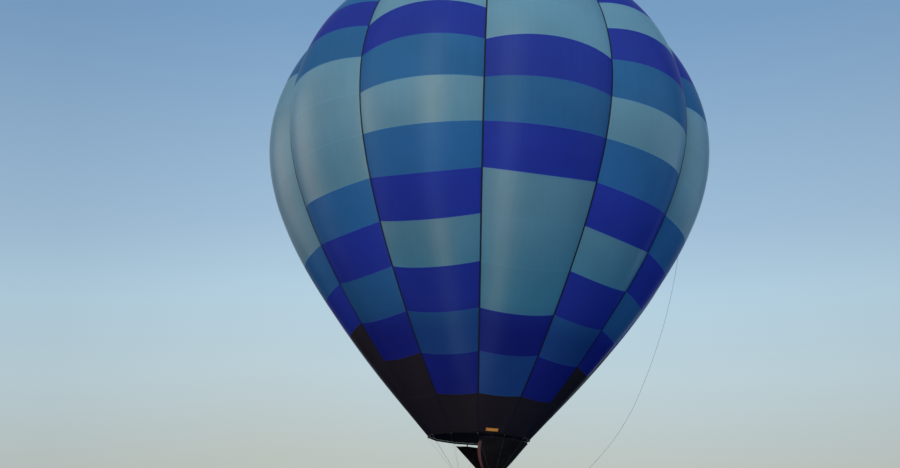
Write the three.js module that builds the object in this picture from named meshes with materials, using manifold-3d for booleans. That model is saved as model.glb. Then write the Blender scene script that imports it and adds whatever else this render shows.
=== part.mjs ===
// A hot air balloon in flight: a bulbous envelope of twelve gores on vertical load tapes, a
// parachute valve in its crown, a scoop under its mouth, a gimballed double burner on a load
// frame, and a wicker basket with two fuel cylinders. Millimetres, +Z up. The origin is on the
// balloon's axis at the envelope's widest height, about the centre of its lift. The front faces -Y.

import * as THREE from 'three';
import { mergeVertices } from 'three/addons/utils/BufferGeometryUtils.js';
import Module from 'manifold-3d';

const wasm = await Module();
wasm.setup();

// Driving dimensions

const gap = 0.3;

// Radius of the load tapes and height above the mouth at each panel seam, from the mouth
// to the edge of the crown opening
const panelSeams = [
  { radius: 1846, height: 150 },
  { radius: 2880, height: 1270 },
  { radius: 3900, height: 2460 },
  { radius: 4840, height: 3660 },
  { radius: 5760, height: 4930 },
  { radius: 6590, height: 6220 },
  { radius: 7270, height: 7490 },
  { radius: 7820, height: 8820 },
  { radius: 8150, height: 10170 },
  { radius: 8220, height: 11520 },
  { radius: 8010, height: 12850 },
  { radius: 7580, height: 14130 },
  { radius: 6880, height: 15400 },
  { radius: 5950, height: 16530 },
  { radius: 4830, height: 17430 },
  { radius: 3570, height: 18090 },
  { radius: 2230, height: 18530 },
];
const goreCount = 12;
const clothThickness = 10;
const goreBulge = 0.17;
const goreBulgePower = 0.6;
const goreColumns = 6;
const tapeWidth = 20;
const tapeRise = 4;
const hoopInset = 1;
const hoopMargin = 0.0076;
const mouthHeight = -11520;

const crownRing = { inner: 80, outer: 125, thickness: 14, sides: 24 };
const crownTapeEnd = { radius: 110, height: 18790 };
const parachute = { overlap: 0.2, slack: 0.6 };
const mouthBand = { inner: 1834, outer: 1854, depth: 60 };

const scoop = {
  firstAzimuth: 0,
  lastAzimuth: 210,
  topRadius: 1736,
  drop: 90,
  footX: 500,
  footHalfY: 500,
  lift: 130,
  columns: 14,
  rows: 5,
};
const scoopTab = { width: 40, depth: 8, overlap: 20, azimuths: [15, 45, 75, 105, 135, 165, 195] };

const barSides = 12;
const frame = { drop: 1600, halfWidth: 560, tube: 20, tubeSides: 8, socketRadius: 34, socketHeight: 90 };
const lug = { width: 44, height: 56, thickness: 10, sink: 2, hole: 14, holeHeight: 26 };
const karabiner = { width: 46, height: 100, bar: 12, corner: 20 };
const wire = {
  radius: 3,
  sides: 6,
  eyeRadius: 15,
  eyeTube: 4,
  ferruleRadius: 8,
  ferruleLength: 34,
  ferruleSides: 8,
};

const gimbal = {
  halfX: 440,
  halfY: 300,
  corner: 60,
  tube: 14,
  tubeSides: 8,
  pin: 9,
  hub: 22,
  hubLength: 40,
};
const burner = {
  spacing: 165,
  canRadius: 140,
  canWall: 4,
  canHeight: 430,
  canDrop: 60,
  canSides: 20,
};
const burnerPlate = { width: 620, depth: 70, thickness: 10 };
const burnerBody = { width: 170, depth: 90, height: 60, sink: 1 };
const burnerPost = { width: 24, depth: 16, y: 170 };
const coil = {
  radius: 112,
  tube: 9,
  turns: 2,
  turnPoints: 12,
  pitch: 30,
  lift: 250,
  sides: 6,
  steps: 30,
};
const lever = { width: 26, length: 150, thickness: 8 };

const upright = {
  radius: 14,
  length: 1050,
  endGap: 1.5,
  sides: 10,
  sleeveRadius: 30,
  sleeveEnd: 60,
  sleeveGap: 0.4,
};
const basket = { halfX: 660, halfY: 540, height: 1060, wall: 30, corner: 120, floor: 20 };
const rim = { radius: 34, sides: 8, cupRadius: 28, cupHeight: 60 };
const hide = { height: 150, thickness: 7 };
const runner = { width: 60, height: 40, length: 980, spacing: 430, count: 3 };
const footHole = { width: 210, height: 110, depth: 120, lift: 330 };

const ropeHandle = { radius: 12, sides: 6, steps: 18, y: 193, fall: 125 };
// The handle's route from one end to the other: distance from the wall, place along it, height
const ropeHandleRoute = [
  { out: 0.3, along: -80, height: 0 },
  { out: 18.6, along: -80, height: 0 },
  { out: 49.6, along: -72, height: -39 },
  { out: 62, along: -48, height: -104 },
  { out: 62, along: 0, height: -130 },
  { out: 62, along: 48, height: -104 },
  { out: 49.6, along: 72, height: -39 },
  { out: 18.6, along: 80, height: 0 },
  { out: 0.3, along: 80, height: 0 },
];

// Turned profiles: each row is a radius and a height
const fuelCylinder = { x: -455, y: 335, height: 620, sides: 16 };
const fuelCylinderProfile = [
  [0, 30],
  [100, 22],
  [106, 0],
  [118, 0],
  [122, 30],
  [150, 75],
  [150, 545],
  [118, 598],
  [100, 612],
  [100, 690],
  [94, 690],
  [94, 614],
  [0, 620],
];
const cylinderValve = { sides: 10 };
const cylinderValveProfile = [
  [0, 0],
  [24, 0],
  [24, 46],
  [12, 46],
  [12, 58],
  [34, 58],
  [34, 70],
  [0, 70],
];

// The crown line in its own upright plane: distance from the axis and height. It runs from the
// crown ring over the middle of a gore to the equator, then hangs free down to a rope handle.
const crownLine = { azimuth: 105, radius: 6, sides: 8, steps: 64 };
const crownLineRoute = [
  [126.5, 7284],
  [1050, 7190],
  [2157, 7030],
  [3501, 6693],
  [4805, 6123],
  [6017, 5283],
  [7066, 4165],
  [7882, 2858],
  [8405, 1494],
  [8670, 38],
  [8600, -1455],
  [8470, -2250],
  [8290, -3200],
  [8060, -4270],
  [7825, -5190],
  [7465, -6390],
  [7005, -7650],
  [6500, -8840],
  [5955, -9940],
  [5320, -10920],
  [4830, -11520],
  [4270, -12110],
  [3400, -12876],
  [2450, -13574],
  [1500, -14130],
  [760, -14463],
];

// Colours

const panelBlue = { color: 0x2f55a8, roughness: 0.6, metalness: 0 };
const nearBlack = { color: 0x14151b, roughness: 0.7, metalness: 0 };
const tapeBlue = { color: 0x20356b, roughness: 0.8, metalness: 0 };
const silver = { color: 0xb9bcc0, roughness: 0.35, metalness: 1 };
const brass = { color: 0xb4914a, roughness: 0.35, metalness: 1 };
const wicker = { color: 0xa87b45, roughness: 0.85, metalness: 0 };
const leather = { color: 0x5a3823, roughness: 0.6, metalness: 0 };
const plywood = { color: 0xb18a58, roughness: 0.7, metalness: 0 };
const ropeBeige = { color: 0xc9bfa6, roughness: 0.9, metalness: 0 };

const balloon = new THREE.Group();

// Helpers

function addMesh(name, geometry, look, parent = balloon) {
  const mesh = new THREE.Mesh(geometry, new THREE.MeshStandardMaterial(look));
  mesh.name = name;
  parent.add(mesh);
  return mesh;
}

function toSolid(geometry) {
  const plain = geometry.clone();
  plain.deleteAttribute('normal');
  plain.deleteAttribute('uv');
  const merged = mergeVertices(plain, 1e-3);
  const numProp = 3;
  const vertProperties = Float32Array.from(merged.attributes.position.array);
  const triVerts = Uint32Array.from(merged.index.array);
  return new wasm.Manifold(new wasm.Mesh({ numProp, vertProperties, triVerts }));
}

function toGeometry(solid) {
  const mesh = solid.getMesh();
  const geometry = new THREE.BufferGeometry();
  geometry.setAttribute('position', new THREE.BufferAttribute(mesh.vertProperties, 3));
  geometry.setIndex(new THREE.BufferAttribute(mesh.triVerts, 1));
  return geometry;
}

function join(geometries) {
  return toGeometry(geometries.map(toSolid).reduce((whole, piece) => whole.add(piece)));
}

function cut(geometry, tools) {
  return toGeometry(tools.map(toSolid).reduce((whole, tool) => whole.subtract(tool), toSolid(geometry)));
}

function azimuthVector(degrees) {
  const angle = THREE.MathUtils.degToRad(degrees);
  return new THREE.Vector3(Math.sin(angle), -Math.cos(angle), 0);
}

function pointAt(degrees, radius, height) {
  return azimuthVector(degrees).multiplyScalar(radius).setZ(height);
}

// A closed body through loops of points. Point i of a loop lies opposite point (last - i),
// so the two end loops close as strips, unless the last loop runs on into the first.
function loft(loops, endless = false) {
  const size = loops[0].length;
  const vertices = loops.flat().flatMap((point) => [point.x, point.y, point.z]);
  const faces = [];
  const quad = (a, b, c, d) => faces.push(a, b, c, a, c, d);
  const bands = endless ? loops.length : loops.length - 1;
  for (let row = 0; row < bands; row += 1) {
    const low = row * size;
    const high = ((row + 1) % loops.length) * size;
    for (let i = 0; i < size; i += 1) {
      const next = (i + 1) % size;
      quad(low + i, low + next, high + next, high + i);
    }
  }
  const top = (loops.length - 1) * size;
  for (let i = 0; !endless && i + 1 < size / 2; i += 1) {
    const back = size - 1 - i;
    quad(i, back, back - 1, i + 1);
    quad(top + i, top + i + 1, top + back - 1, top + back);
  }
  const geometry = new THREE.BufferGeometry();
  geometry.setAttribute('position', new THREE.Float32BufferAttribute(vertices, 3));
  geometry.setIndex(faces);
  return geometry;
}

// A body of revolution about +Z from a profile of [radius, height] pairs
function turned(profile, segments) {
  const points = profile.map(([radius, height]) => new THREE.Vector2(radius, height));
  return new THREE.LatheGeometry(points, segments).rotateX(Math.PI / 2);
}

function ringProfile(inner, outer, low, high) {
  return [[inner, low], [outer, low], [outer, high], [inner, high], [inner, low]];
}

function rod(from, to, radius, sides) {
  const line = new THREE.Vector3().subVectors(to, from);
  const middle = new THREE.Vector3().addVectors(from, to).multiplyScalar(0.5);
  const turn = new THREE.Quaternion().setFromUnitVectors(
    new THREE.Vector3(0, 1, 0),
    line.clone().normalize(),
  );
  const matrix = new THREE.Matrix4().compose(middle, turn, new THREE.Vector3(1, 1, 1));
  return new THREE.CylinderGeometry(radius, radius, line.length(), sides).applyMatrix4(matrix);
}

function block(width, depth, height, x = 0, y = 0, z = 0) {
  return new THREE.BoxGeometry(width, depth, height).translate(x, y, z);
}

function circleShape(radius, sides) {
  const points = Array.from({ length: sides }, (_, i) => {
    const angle = ((i + 0.5) / sides) * 2 * Math.PI;
    return new THREE.Vector2(radius * Math.cos(angle), radius * Math.sin(angle));
  });
  return new THREE.Shape(points);
}

function tubeAlong(curve, radius, sides, steps) {
  return new THREE.ExtrudeGeometry(circleShape(radius, sides), { extrudePath: curve, steps });
}

function roundedRectangle(halfX, halfY, corner, segments = 4) {
  const points = [];
  [[1, 1, 0], [-1, 1, 90], [-1, -1, 180], [1, -1, 270]].forEach(([sx, sy, start]) => {
    for (let i = 0; i <= segments; i += 1) {
      const angle = THREE.MathUtils.degToRad(start + (90 * i) / segments);
      points.push(new THREE.Vector2(
        sx * (halfX - corner) + corner * Math.cos(angle),
        sy * (halfY - corner) + corner * Math.sin(angle),
      ));
    }
  });
  return points;
}

// An upright wall between two rounded rectangles
function basketRing(outerInset, innerInset, low, high) {
  const outline = (inset) => roundedRectangle(
    basket.halfX - inset,
    basket.halfY - inset,
    basket.corner - inset,
  );
  const shape = new THREE.Shape(outline(outerInset));
  shape.holes.push(new THREE.Path(outline(innerInset)));
  return new THREE.ExtrudeGeometry(shape, { depth: high - low, bevelEnabled: false })
    .translate(0, 0, low);
}

// Envelope

const goreAngle = 360 / goreCount;
const halfAngle = THREE.MathUtils.degToRad(goreAngle / 2);
const lastSeam = panelSeams.length - 1;
const meridian = new THREE.SplineCurve([
  ...panelSeams.map((seam) => new THREE.Vector2(seam.radius, seam.height + mouthHeight)),
  new THREE.Vector2(crownTapeEnd.radius, crownTapeEnd.height + mouthHeight),
]);

// The load tape's point at a panel seam's number, with the outward normal of its curve
function meridianAt(row) {
  const share = row / (lastSeam + 1);
  const point = meridian.getPoint(share);
  const step = 1e-3;
  const ahead = meridian.getPoint(Math.min(1, share + step));
  const behind = meridian.getPoint(Math.max(0, share - step));
  const along = ahead.sub(behind).normalize();
  return { radius: point.x, height: point.y, normalR: along.y, normalZ: -along.x };
}

function bulgeAt(row) {
  return goreBulge * Math.sin((Math.PI * row) / lastSeam) ** goreBulgePower;
}

// Points across a gore at one panel seam, on an arc of the gore's cloth. The ends stop at a
// fixed distance from the load tape's middle plane.
function goreArc(row, azimuth, inset, edge) {
  const station = meridianAt(row);
  const chordRadius = station.radius * Math.cos(halfAngle);
  const halfChord = station.radius * Math.sin(halfAngle);
  const bulge = Math.max(bulgeAt(row), 1e-3);
  const spread = 2 * Math.atan(2 * bulge);
  const arcRadius = halfChord / Math.sin(spread);
  const centre = -arcRadius * Math.cos(spread);
  const radius = arcRadius - inset;
  const across = radius * Math.cos(halfAngle);
  const outward = radius * station.normalR * Math.sin(halfAngle);
  const reach = edge - (chordRadius + centre * station.normalR) * Math.sin(halfAngle);
  const limit = Math.acos(reach / Math.hypot(across, outward)) - Math.atan2(across, outward);
  const outDirection = azimuthVector(azimuth);
  const sideDirection = azimuthVector(azimuth + 90);
  return Array.from({ length: goreColumns + 1 }, (_, column) => {
    const angle = limit * ((2 * column) / goreColumns - 1);
    const out = centre + radius * Math.cos(angle);
    const height = station.height + out * station.normalZ;
    return outDirection.clone().multiplyScalar(chordRadius + out * station.normalR)
      .addScaledVector(sideDirection, radius * Math.sin(angle))
      .setZ(height);
  });
}

function goreGeometry(azimuth) {
  const edge = tapeWidth / 2 + gap;
  const loops = [];
  const lastStation = lastSeam - hoopMargin;
  for (let row = 0; row <= lastSeam; row += 1) {
    const station = Math.min(row, lastStation);
    const outer = goreArc(station, azimuth, 0, edge);
    const inner = goreArc(station, azimuth, clothThickness, edge).reverse();
    loops.push([...outer, ...inner]);
  }
  return loft(loops);
}

for (let gore = 0; gore < goreCount; gore += 1) {
  const name = `gore_${String(gore + 1).padStart(2, '0')}`;
  addMesh(name, goreGeometry((gore + 0.5) * goreAngle), panelBlue);
}

// A load tape's section at a row: its outer face stands a little proud of the cloth
function tapeLoop(row, azimuth) {
  const station = meridianAt(row);
  const side = azimuthVector(azimuth + 90).multiplyScalar(tapeWidth / 2);
  const corner = (out, sign) => pointAt(
    azimuth,
    station.radius + out * station.normalR,
    station.height + out * station.normalZ,
  ).addScaledVector(side, sign);
  return [corner(tapeRise, -1), corner(tapeRise, 1), corner(-clothThickness, 1), corner(-clothThickness, -1)];
}

function tapeGeometry(azimuth) {
  const rows = Array.from({ length: lastSeam + 2 }, (_, row) => row);
  return loft(rows.map((row) => tapeLoop(row, azimuth)));
}

// The hoop of tape along the edge of the crown opening, a little thinner than the load tapes
function crownHoop() {
  const station = meridianAt(lastSeam);
  const half = tapeWidth / 2;
  const corner = (out, along) => [
    station.radius + out * station.normalR - along * station.normalZ,
    station.height + out * station.normalZ + along * station.normalR,
  ];
  const low = hoopInset - clothThickness;
  const high = tapeRise - hoopInset;
  const profile = [corner(low, half), corner(low, -half), corner(high, -half), corner(high, half)];
  return turned([...profile, profile[0]], goreCount);
}

const tapes = Array.from({ length: goreCount }, (_, seam) => tapeGeometry(seam * goreAngle));
addMesh('load_tape_cage', join([...tapes, crownHoop()]), tapeBlue);

// Crown ring, lying on the tapes' ends

const crownEnd = meridianAt(lastSeam + 1);
const ringLow = crownEnd.height + tapeRise + gap;
const ringHigh = ringLow + crownRing.thickness;
addMesh(
  'crown_ring',
  turned(ringProfile(crownRing.inner, crownRing.outer, ringLow, ringHigh), crownRing.sides),
  silver,
);

// Parachute valve: a shallow dome of cloth that closes the crown opening from inside

function parachuteProfile() {
  const side = (inset) => {
    const points = [lastSeam - 1, lastSeam, lastSeam + 1].map((row) => {
      const station = meridianAt(row);
      return new THREE.Vector2(
        station.radius - inset * station.normalR,
        station.height - inset * station.normalZ,
      );
    });
    points[0].lerp(points[1], 1 - parachute.overlap);
    return points.map((point) => point.toArray());
  };
  const top = side(clothThickness + parachute.slack);
  const under = side(2 * clothThickness + parachute.slack);
  const topCentre = [0, top[top.length - 1][1]];
  const underCentre = [0, under[under.length - 1][1]];
  return [underCentre, ...under.reverse(), ...top, topCentre];
}

addMesh('parachute_valve', turned(parachuteProfile(), goreCount), panelBlue);

// Mouth: a stiff band under the gores and the tapes

const mouth = meridianAt(0);
const bandTop = mouth.height + tapeRise * mouth.normalZ - gap;
const bandBottom = bandTop - mouthBand.depth;
addMesh(
  'mouth_band',
  turned(ringProfile(mouthBand.inner, mouthBand.outer, bandBottom, bandTop), goreCount),
  nearBlack,
);

// Load frame: four tubes between upright sockets, with a lug over each socket and a pin for
// the gimbal ring on the left and right

const frameHeight = mouthHeight - frame.drop;
const socketTop = frameHeight + frame.socketHeight / 2;
const socketBottom = frameHeight - frame.socketHeight / 2;
const holeHeight = socketTop + lug.holeHeight;
const frameCorners = [[1, -1], [1, 1], [-1, 1], [-1, -1]];

function frameCorner([sx, sy], height) {
  return new THREE.Vector3(sx * frame.halfWidth, sy * frame.halfWidth, height);
}

function loadFrame() {
  const pieces = frameCorners.flatMap((corner, i) => {
    const next = frameCorners[(i + 1) % frameCorners.length];
    const here = frameCorner(corner, frameHeight);
    const tube = rod(here, frameCorner(next, frameHeight), frame.tube, frame.tubeSides);
    const socket = rod(
      frameCorner(corner, socketBottom),
      frameCorner(corner, socketTop),
      frame.socketRadius,
      barSides,
    );
    const plate = block(
      lug.width,
      lug.thickness,
      lug.height,
      here.x,
      here.y,
      socketTop + lug.height / 2 - lug.sink,
    );
    return [tube, socket, plate];
  });
  const pins = [-1, 1].map((side) => rod(
    new THREE.Vector3(side * frame.halfWidth, 0, frameHeight),
    new THREE.Vector3(side * (gimbal.halfX - gimbal.hubLength / 2), 0, frameHeight),
    gimbal.pin,
    barSides,
  ));
  const holes = frameCorners.map((corner) => {
    const centre = frameCorner(corner, holeHeight);
    const reach = new THREE.Vector3(0, lug.thickness, 0);
    return rod(centre.clone().sub(reach), centre.clone().add(reach), lug.hole, barSides);
  });
  return cut(join([...pieces, ...pins]), holes);
}

addMesh('load_frame', loadFrame(), silver);

// Karabiners, each with its lower bar through a lug's hole

const halfBar = karabiner.bar / 2;
const flatShare = Math.cos(Math.PI / barSides);
const holeRise = Math.sqrt((lug.hole * flatShare) ** 2 - halfBar ** 2);
const karabinerLow = holeHeight + holeRise - gap - karabiner.bar;
const karabinerHigh = karabinerLow + karabiner.height;

function karabinerGeometry() {
  const outline = (inset) => roundedRectangle(
    karabiner.width / 2 - inset,
    karabiner.height / 2 - inset,
    karabiner.corner - inset,
    3,
  );
  const shape = new THREE.Shape(outline(0));
  shape.holes.push(new THREE.Path(outline(karabiner.bar)));
  return new THREE.ExtrudeGeometry(shape, { depth: karabiner.bar, bevelEnabled: false })
    .translate(0, 0, -halfBar)
    .rotateX(Math.PI / 2)
    .rotateZ(Math.PI / 2)
    .translate(0, 0, karabinerLow + karabiner.height / 2);
}

frameCorners.forEach((corner, i) => {
  const mesh = addMesh(`karabiner_${i + 1}`, karabinerGeometry(), silver);
  mesh.position.copy(frameCorner(corner, 0));
});

// Flying wires: three to each karabiner, from ferrules under the mouth band

const eyeInner = (wire.eyeRadius - wire.eyeTube) * flatShare;
const eyeSeat = Math.sqrt(eyeInner ** 2 - halfBar ** 2) - gap;
const eyeHeight = karabinerHigh - karabiner.bar + eyeSeat;
const ferruleTop = bandBottom - gap;
const bandMiddle = (mouthBand.inner + mouthBand.outer) / 2;

function flyingWires(corner, firstSeam) {
  const eye = frameCorner(corner, eyeHeight);
  const ring = new THREE.TorusGeometry(wire.eyeRadius, wire.eyeTube, wire.sides, barSides)
    .rotateX(Math.PI / 2)
    .translate(eye.x, eye.y, eye.z);
  const start = eye.clone();
  start.z += wire.eyeRadius;
  const wires = [0, 1, 2].flatMap((offset) => {
    const azimuth = (firstSeam + offset) * goreAngle;
    const top = pointAt(azimuth, bandMiddle, ferruleTop);
    const low = pointAt(azimuth, bandMiddle, ferruleTop - wire.ferruleLength);
    const middle = top.clone().lerp(low, 0.5);
    return [
      rod(start, middle, wire.radius, wire.sides),
      rod(low, top, wire.ferruleRadius, wire.ferruleSides),
    ];
  });
  return join([ring, ...wires]);
}

frameCorners.forEach((corner, i) => {
  const geometry = flyingWires(corner, i * (goreCount / frameCorners.length));
  addMesh(`flying_wires_${i + 1}`, geometry, silver);
});

// Scoop: a sheet inside the flying wires, from an arc below the mouth band down to a short edge
// over the frame's right-hand tube, hung from the band by tabs

function scoopLoop(column) {
  const share = column / scoop.columns;
  const azimuth = THREE.MathUtils.lerp(scoop.firstAzimuth, scoop.lastAzimuth, share);
  const top = pointAt(azimuth, scoop.topRadius, bandBottom - scoop.drop);
  const low = new THREE.Vector3(
    scoop.footX,
    THREE.MathUtils.lerp(-scoop.footHalfY, scoop.footHalfY, share),
    frameHeight + scoop.lift,
  );
  const outer = [];
  const inner = [];
  for (let row = 0; row <= scoop.rows; row += 1) {
    const point = low.clone().lerp(top, row / scoop.rows);
    const inwards = point.clone().setZ(0).normalize().multiplyScalar(clothThickness);
    outer.push(point);
    inner.push(point.clone().sub(inwards));
  }
  return [...inner, ...outer.reverse()];
}

function scoopTabGeometry(azimuth) {
  const { width, depth, overlap } = scoopTab;
  const outside = bandMiddle * Math.cos(halfAngle) - depth / 2;
  const top = bandBottom - gap;
  const low = bandBottom - scoop.drop;
  const shape = new THREE.Shape([
    new THREE.Vector2(scoop.topRadius - clothThickness, low - overlap),
    new THREE.Vector2(scoop.topRadius, low - overlap),
    new THREE.Vector2(scoop.topRadius, low),
    new THREE.Vector2(outside + depth, top - depth),
    new THREE.Vector2(outside + depth, top),
    new THREE.Vector2(outside, top),
    new THREE.Vector2(outside, top - depth),
    new THREE.Vector2(scoop.topRadius - clothThickness, low + depth),
  ]);
  return new THREE.ExtrudeGeometry(shape, { depth: width, bevelEnabled: false })
    .translate(0, 0, -width / 2)
    .rotateX(Math.PI / 2)
    .rotateZ(THREE.MathUtils.degToRad(azimuth - 90));
}

function scoopGeometry() {
  const loops = Array.from({ length: scoop.columns + 1 }, (_, column) => scoopLoop(column));
  return join([loft(loops), ...scoopTab.azimuths.map(scoopTabGeometry)]);
}

addMesh('scoop', scoopGeometry(), nearBlack);

// Gimbal ring, on the frame's two pins

function gimbalRing() {
  const loops = Array.from({ length: gimbal.tubeSides }, (_, i) => {
    const angle = ((i + 0.5) / gimbal.tubeSides) * 2 * Math.PI;
    const out = gimbal.tube * Math.cos(angle);
    const outline = roundedRectangle(
      gimbal.halfX + out,
      gimbal.halfY + out,
      gimbal.corner + out,
      2,
    );
    return outline.map((point) => new THREE.Vector3(
      point.x,
      point.y,
      frameHeight + gimbal.tube * Math.sin(angle),
    ));
  });
  const middle = new THREE.Vector3(0, 0, frameHeight);
  const axle = (direction, distance, radius, length) => rod(
    middle.clone().addScaledVector(direction, distance - length / 2),
    middle.clone().addScaledVector(direction, distance + length / 2),
    radius,
    barSides,
  );
  const ends = [
    { direction: new THREE.Vector3(1, 0, 0), distance: gimbal.halfX },
    { direction: new THREE.Vector3(-1, 0, 0), distance: gimbal.halfX },
    { direction: new THREE.Vector3(0, 1, 0), distance: gimbal.halfY },
    { direction: new THREE.Vector3(0, -1, 0), distance: gimbal.halfY },
  ];
  const hubs = ends.map(({ direction, distance }) => axle(
    direction,
    distance,
    gimbal.hub,
    gimbal.hubLength,
  ));
  const bores = ends.map(({ direction, distance }) => axle(
    direction,
    distance,
    (gimbal.pin + gap) / flatShare,
    2 * gimbal.hubLength,
  ));
  return cut(join([loft(loops, true), ...hubs]), bores);
}

addMesh('gimbal_ring', gimbalRing(), silver);

// Burner: a cross bar in the ring's other two hubs carries a plate with the valve body below
// it and two open cans above it, each with a coil

const canBottom = frameHeight - burner.canDrop;
const plateTop = canBottom - gap;
const bodyBottom = plateTop - burnerPlate.thickness - burnerBody.height;

function burnerBlock() {
  const reach = gimbal.halfY + gimbal.hubLength / 2;
  const bar = rod(
    new THREE.Vector3(0, -reach, frameHeight),
    new THREE.Vector3(0, reach, frameHeight),
    gimbal.pin,
    barSides,
  );
  const postHeight = burner.canDrop + burnerPlate.thickness;
  const posts = [-1, 1].map((side) => block(
    burnerPost.width,
    burnerPost.depth,
    postHeight,
    0,
    side * burnerPost.y,
    frameHeight - postHeight / 2,
  ));
  const plate = block(
    burnerPlate.width,
    burnerPlate.depth,
    burnerPlate.thickness,
    0,
    0,
    plateTop - burnerPlate.thickness / 2,
  );
  const strap = block(
    burnerPost.width,
    2 * burnerPost.y + burnerPost.depth,
    burnerPlate.thickness,
    0,
    0,
    plateTop - burnerPlate.thickness / 2,
  );
  const body = block(
    burnerBody.width,
    burnerBody.depth,
    burnerBody.height + burnerBody.sink,
    0,
    0,
    bodyBottom + (burnerBody.height + burnerBody.sink) / 2,
  );
  return join([bar, ...posts, plate, strap, body]);
}

function burnerCoil() {
  const start = coil.lift - coil.turns * coil.pitch;
  const points = [
    new THREE.Vector3(coil.radius, 0, gap),
    new THREE.Vector3(coil.radius, 0, start / 2),
    new THREE.Vector3(coil.radius, 0, start - coil.pitch),
  ];
  for (let i = 1; i <= coil.turns * coil.turnPoints; i += 1) {
    const angle = (i / coil.turnPoints) * 2 * Math.PI;
    points.push(new THREE.Vector3(
      coil.radius * Math.cos(angle),
      coil.radius * Math.sin(angle),
      start + (i / coil.turnPoints) * coil.pitch,
    ));
  }
  return tubeAlong(new THREE.CatmullRomCurve3(points), coil.tube, coil.sides, coil.steps);
}

addMesh('burner_block', burnerBlock(), brass);
[-1, 1].forEach((side, i) => {
  const canProfile = ringProfile(
    burner.canRadius - burner.canWall,
    burner.canRadius,
    0,
    burner.canHeight,
  );
  const can = addMesh(`burner_can_${i + 1}`, turned(canProfile, burner.canSides), silver);
  can.position.set(side * burner.spacing, 0, canBottom);
  const spiral = addMesh(`burner_coil_${i + 1}`, burnerCoil(), silver);
  spiral.position.set(side * burner.spacing, 0, plateTop);
  const blade = block(lever.width, lever.length, lever.thickness);
  const handle = addMesh(`valve_lever_${i + 1}`, blade, leather);
  handle.position.set(
    side * (burnerBody.width / 2 - lever.width),
    -lever.length / 2,
    bodyBottom - gap - lever.thickness / 2,
  );
});

// Basket: a wicker wall on a floor and runners, under a padded rim with a cup at each corner

const cupTop = socketBottom - upright.length;
const rimHeight = cupTop - rim.cupHeight;
const wallTop = rimHeight - rim.radius * Math.cos(Math.PI / rim.sides) - gap;
const basketBottom = wallTop - basket.height;

function rimCorner([sx, sy], height) {
  const turn = basket.corner * (1 - Math.SQRT1_2);
  const inset = basket.wall / 2;
  return new THREE.Vector3(
    sx * (basket.halfX - inset - turn),
    sy * (basket.halfY - inset - turn),
    height,
  );
}

function basketBody() {
  const wall = basketRing(0, basket.wall, basketBottom, wallTop);
  const holes = [-1, 1].map((side) => block(
    footHole.width,
    footHole.depth,
    footHole.height,
    0,
    side * basket.halfY,
    basketBottom + footHole.lift,
  ));
  return cut(wall, holes);
}

function basketRim() {
  const loops = Array.from({ length: rim.sides }, (_, i) => {
    const angle = ((i + 0.5) / rim.sides) * 2 * Math.PI;
    const out = rim.radius * Math.cos(angle) - basket.wall / 2;
    return roundedRectangle(basket.halfX + out, basket.halfY + out, basket.corner + out)
      .map((point) => new THREE.Vector3(point.x, point.y, rimHeight + rim.radius * Math.sin(angle)));
  });
  const cups = frameCorners.map((corner) => rod(
    rimCorner(corner, rimHeight),
    rimCorner(corner, cupTop),
    rim.cupRadius,
    barSides,
  ));
  return join([loft(loops, true), ...cups]);
}

function basketFloor() {
  const inset = basket.wall + gap;
  const outline = roundedRectangle(
    basket.halfX - inset,
    basket.halfY - inset,
    basket.corner - inset,
  );
  return new THREE.ExtrudeGeometry(
    new THREE.Shape(outline),
    { depth: basket.floor, bevelEnabled: false },
  ).translate(0, 0, basketBottom);
}

addMesh('basket_body', basketBody(), wicker);
addMesh('basket_floor', basketFloor(), plywood);
addMesh('basket_rim', basketRim(), leather);
addMesh(
  'basket_hide',
  basketRing(-hide.thickness - gap, -gap, basketBottom, basketBottom + hide.height),
  leather,
);

for (let i = 0; i < runner.count; i += 1) {
  const geometry = block(runner.width, runner.length, runner.height);
  const mesh = addMesh(`runner_${i + 1}`, geometry, plywood);
  mesh.position.set(
    (i - (runner.count - 1) / 2) * runner.spacing,
    0,
    basketBottom - gap - runner.height / 2,
  );
}

// Uprights: a rod from each rim cup to its frame socket, in a padded sleeve

frameCorners.forEach((corner, i) => {
  const low = rimCorner(corner, cupTop + upright.endGap);
  const high = frameCorner(corner, socketBottom - upright.endGap);
  addMesh(`upright_rod_${i + 1}`, rod(low, high, upright.radius, upright.sides), ropeBeige);
  const ends = upright.sleeveEnd / upright.length;
  const sleeveLow = low.clone().lerp(high, ends);
  const sleeveHigh = low.clone().lerp(high, 1 - ends);
  const bore = rod(low, high, upright.radius + upright.sleeveGap, upright.sides);
  const sleeve = rod(sleeveLow, sleeveHigh, upright.sleeveRadius, upright.sides);
  addMesh(`upright_sleeve_${i + 1}`, cut(sleeve, [bore]), leather);
});

// Rope handles on the short sides of the basket

function handleGeometry() {
  const curve = new THREE.CatmullRomCurve3(
    ropeHandleRoute.map(({ out, along, height }) => new THREE.Vector3(out, along, height)),
  );
  return tubeAlong(curve, ropeHandle.radius, ropeHandle.sides, ropeHandle.steps);
}

const handleHeight = rimHeight - ropeHandle.fall;
frameCorners.forEach(([sx, sy], i) => {
  const mesh = addMesh(`rope_handle_${i + 1}`, handleGeometry(), ropeBeige);
  mesh.rotation.z = sx > 0 ? 0 : Math.PI;
  mesh.position.set(sx * basket.halfX, sy * ropeHandle.y, handleHeight);
});

// Fuel cylinders on the basket's floor, each with a valve in its collar

const cylinderBottom = basketBottom + basket.floor + gap;

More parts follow.
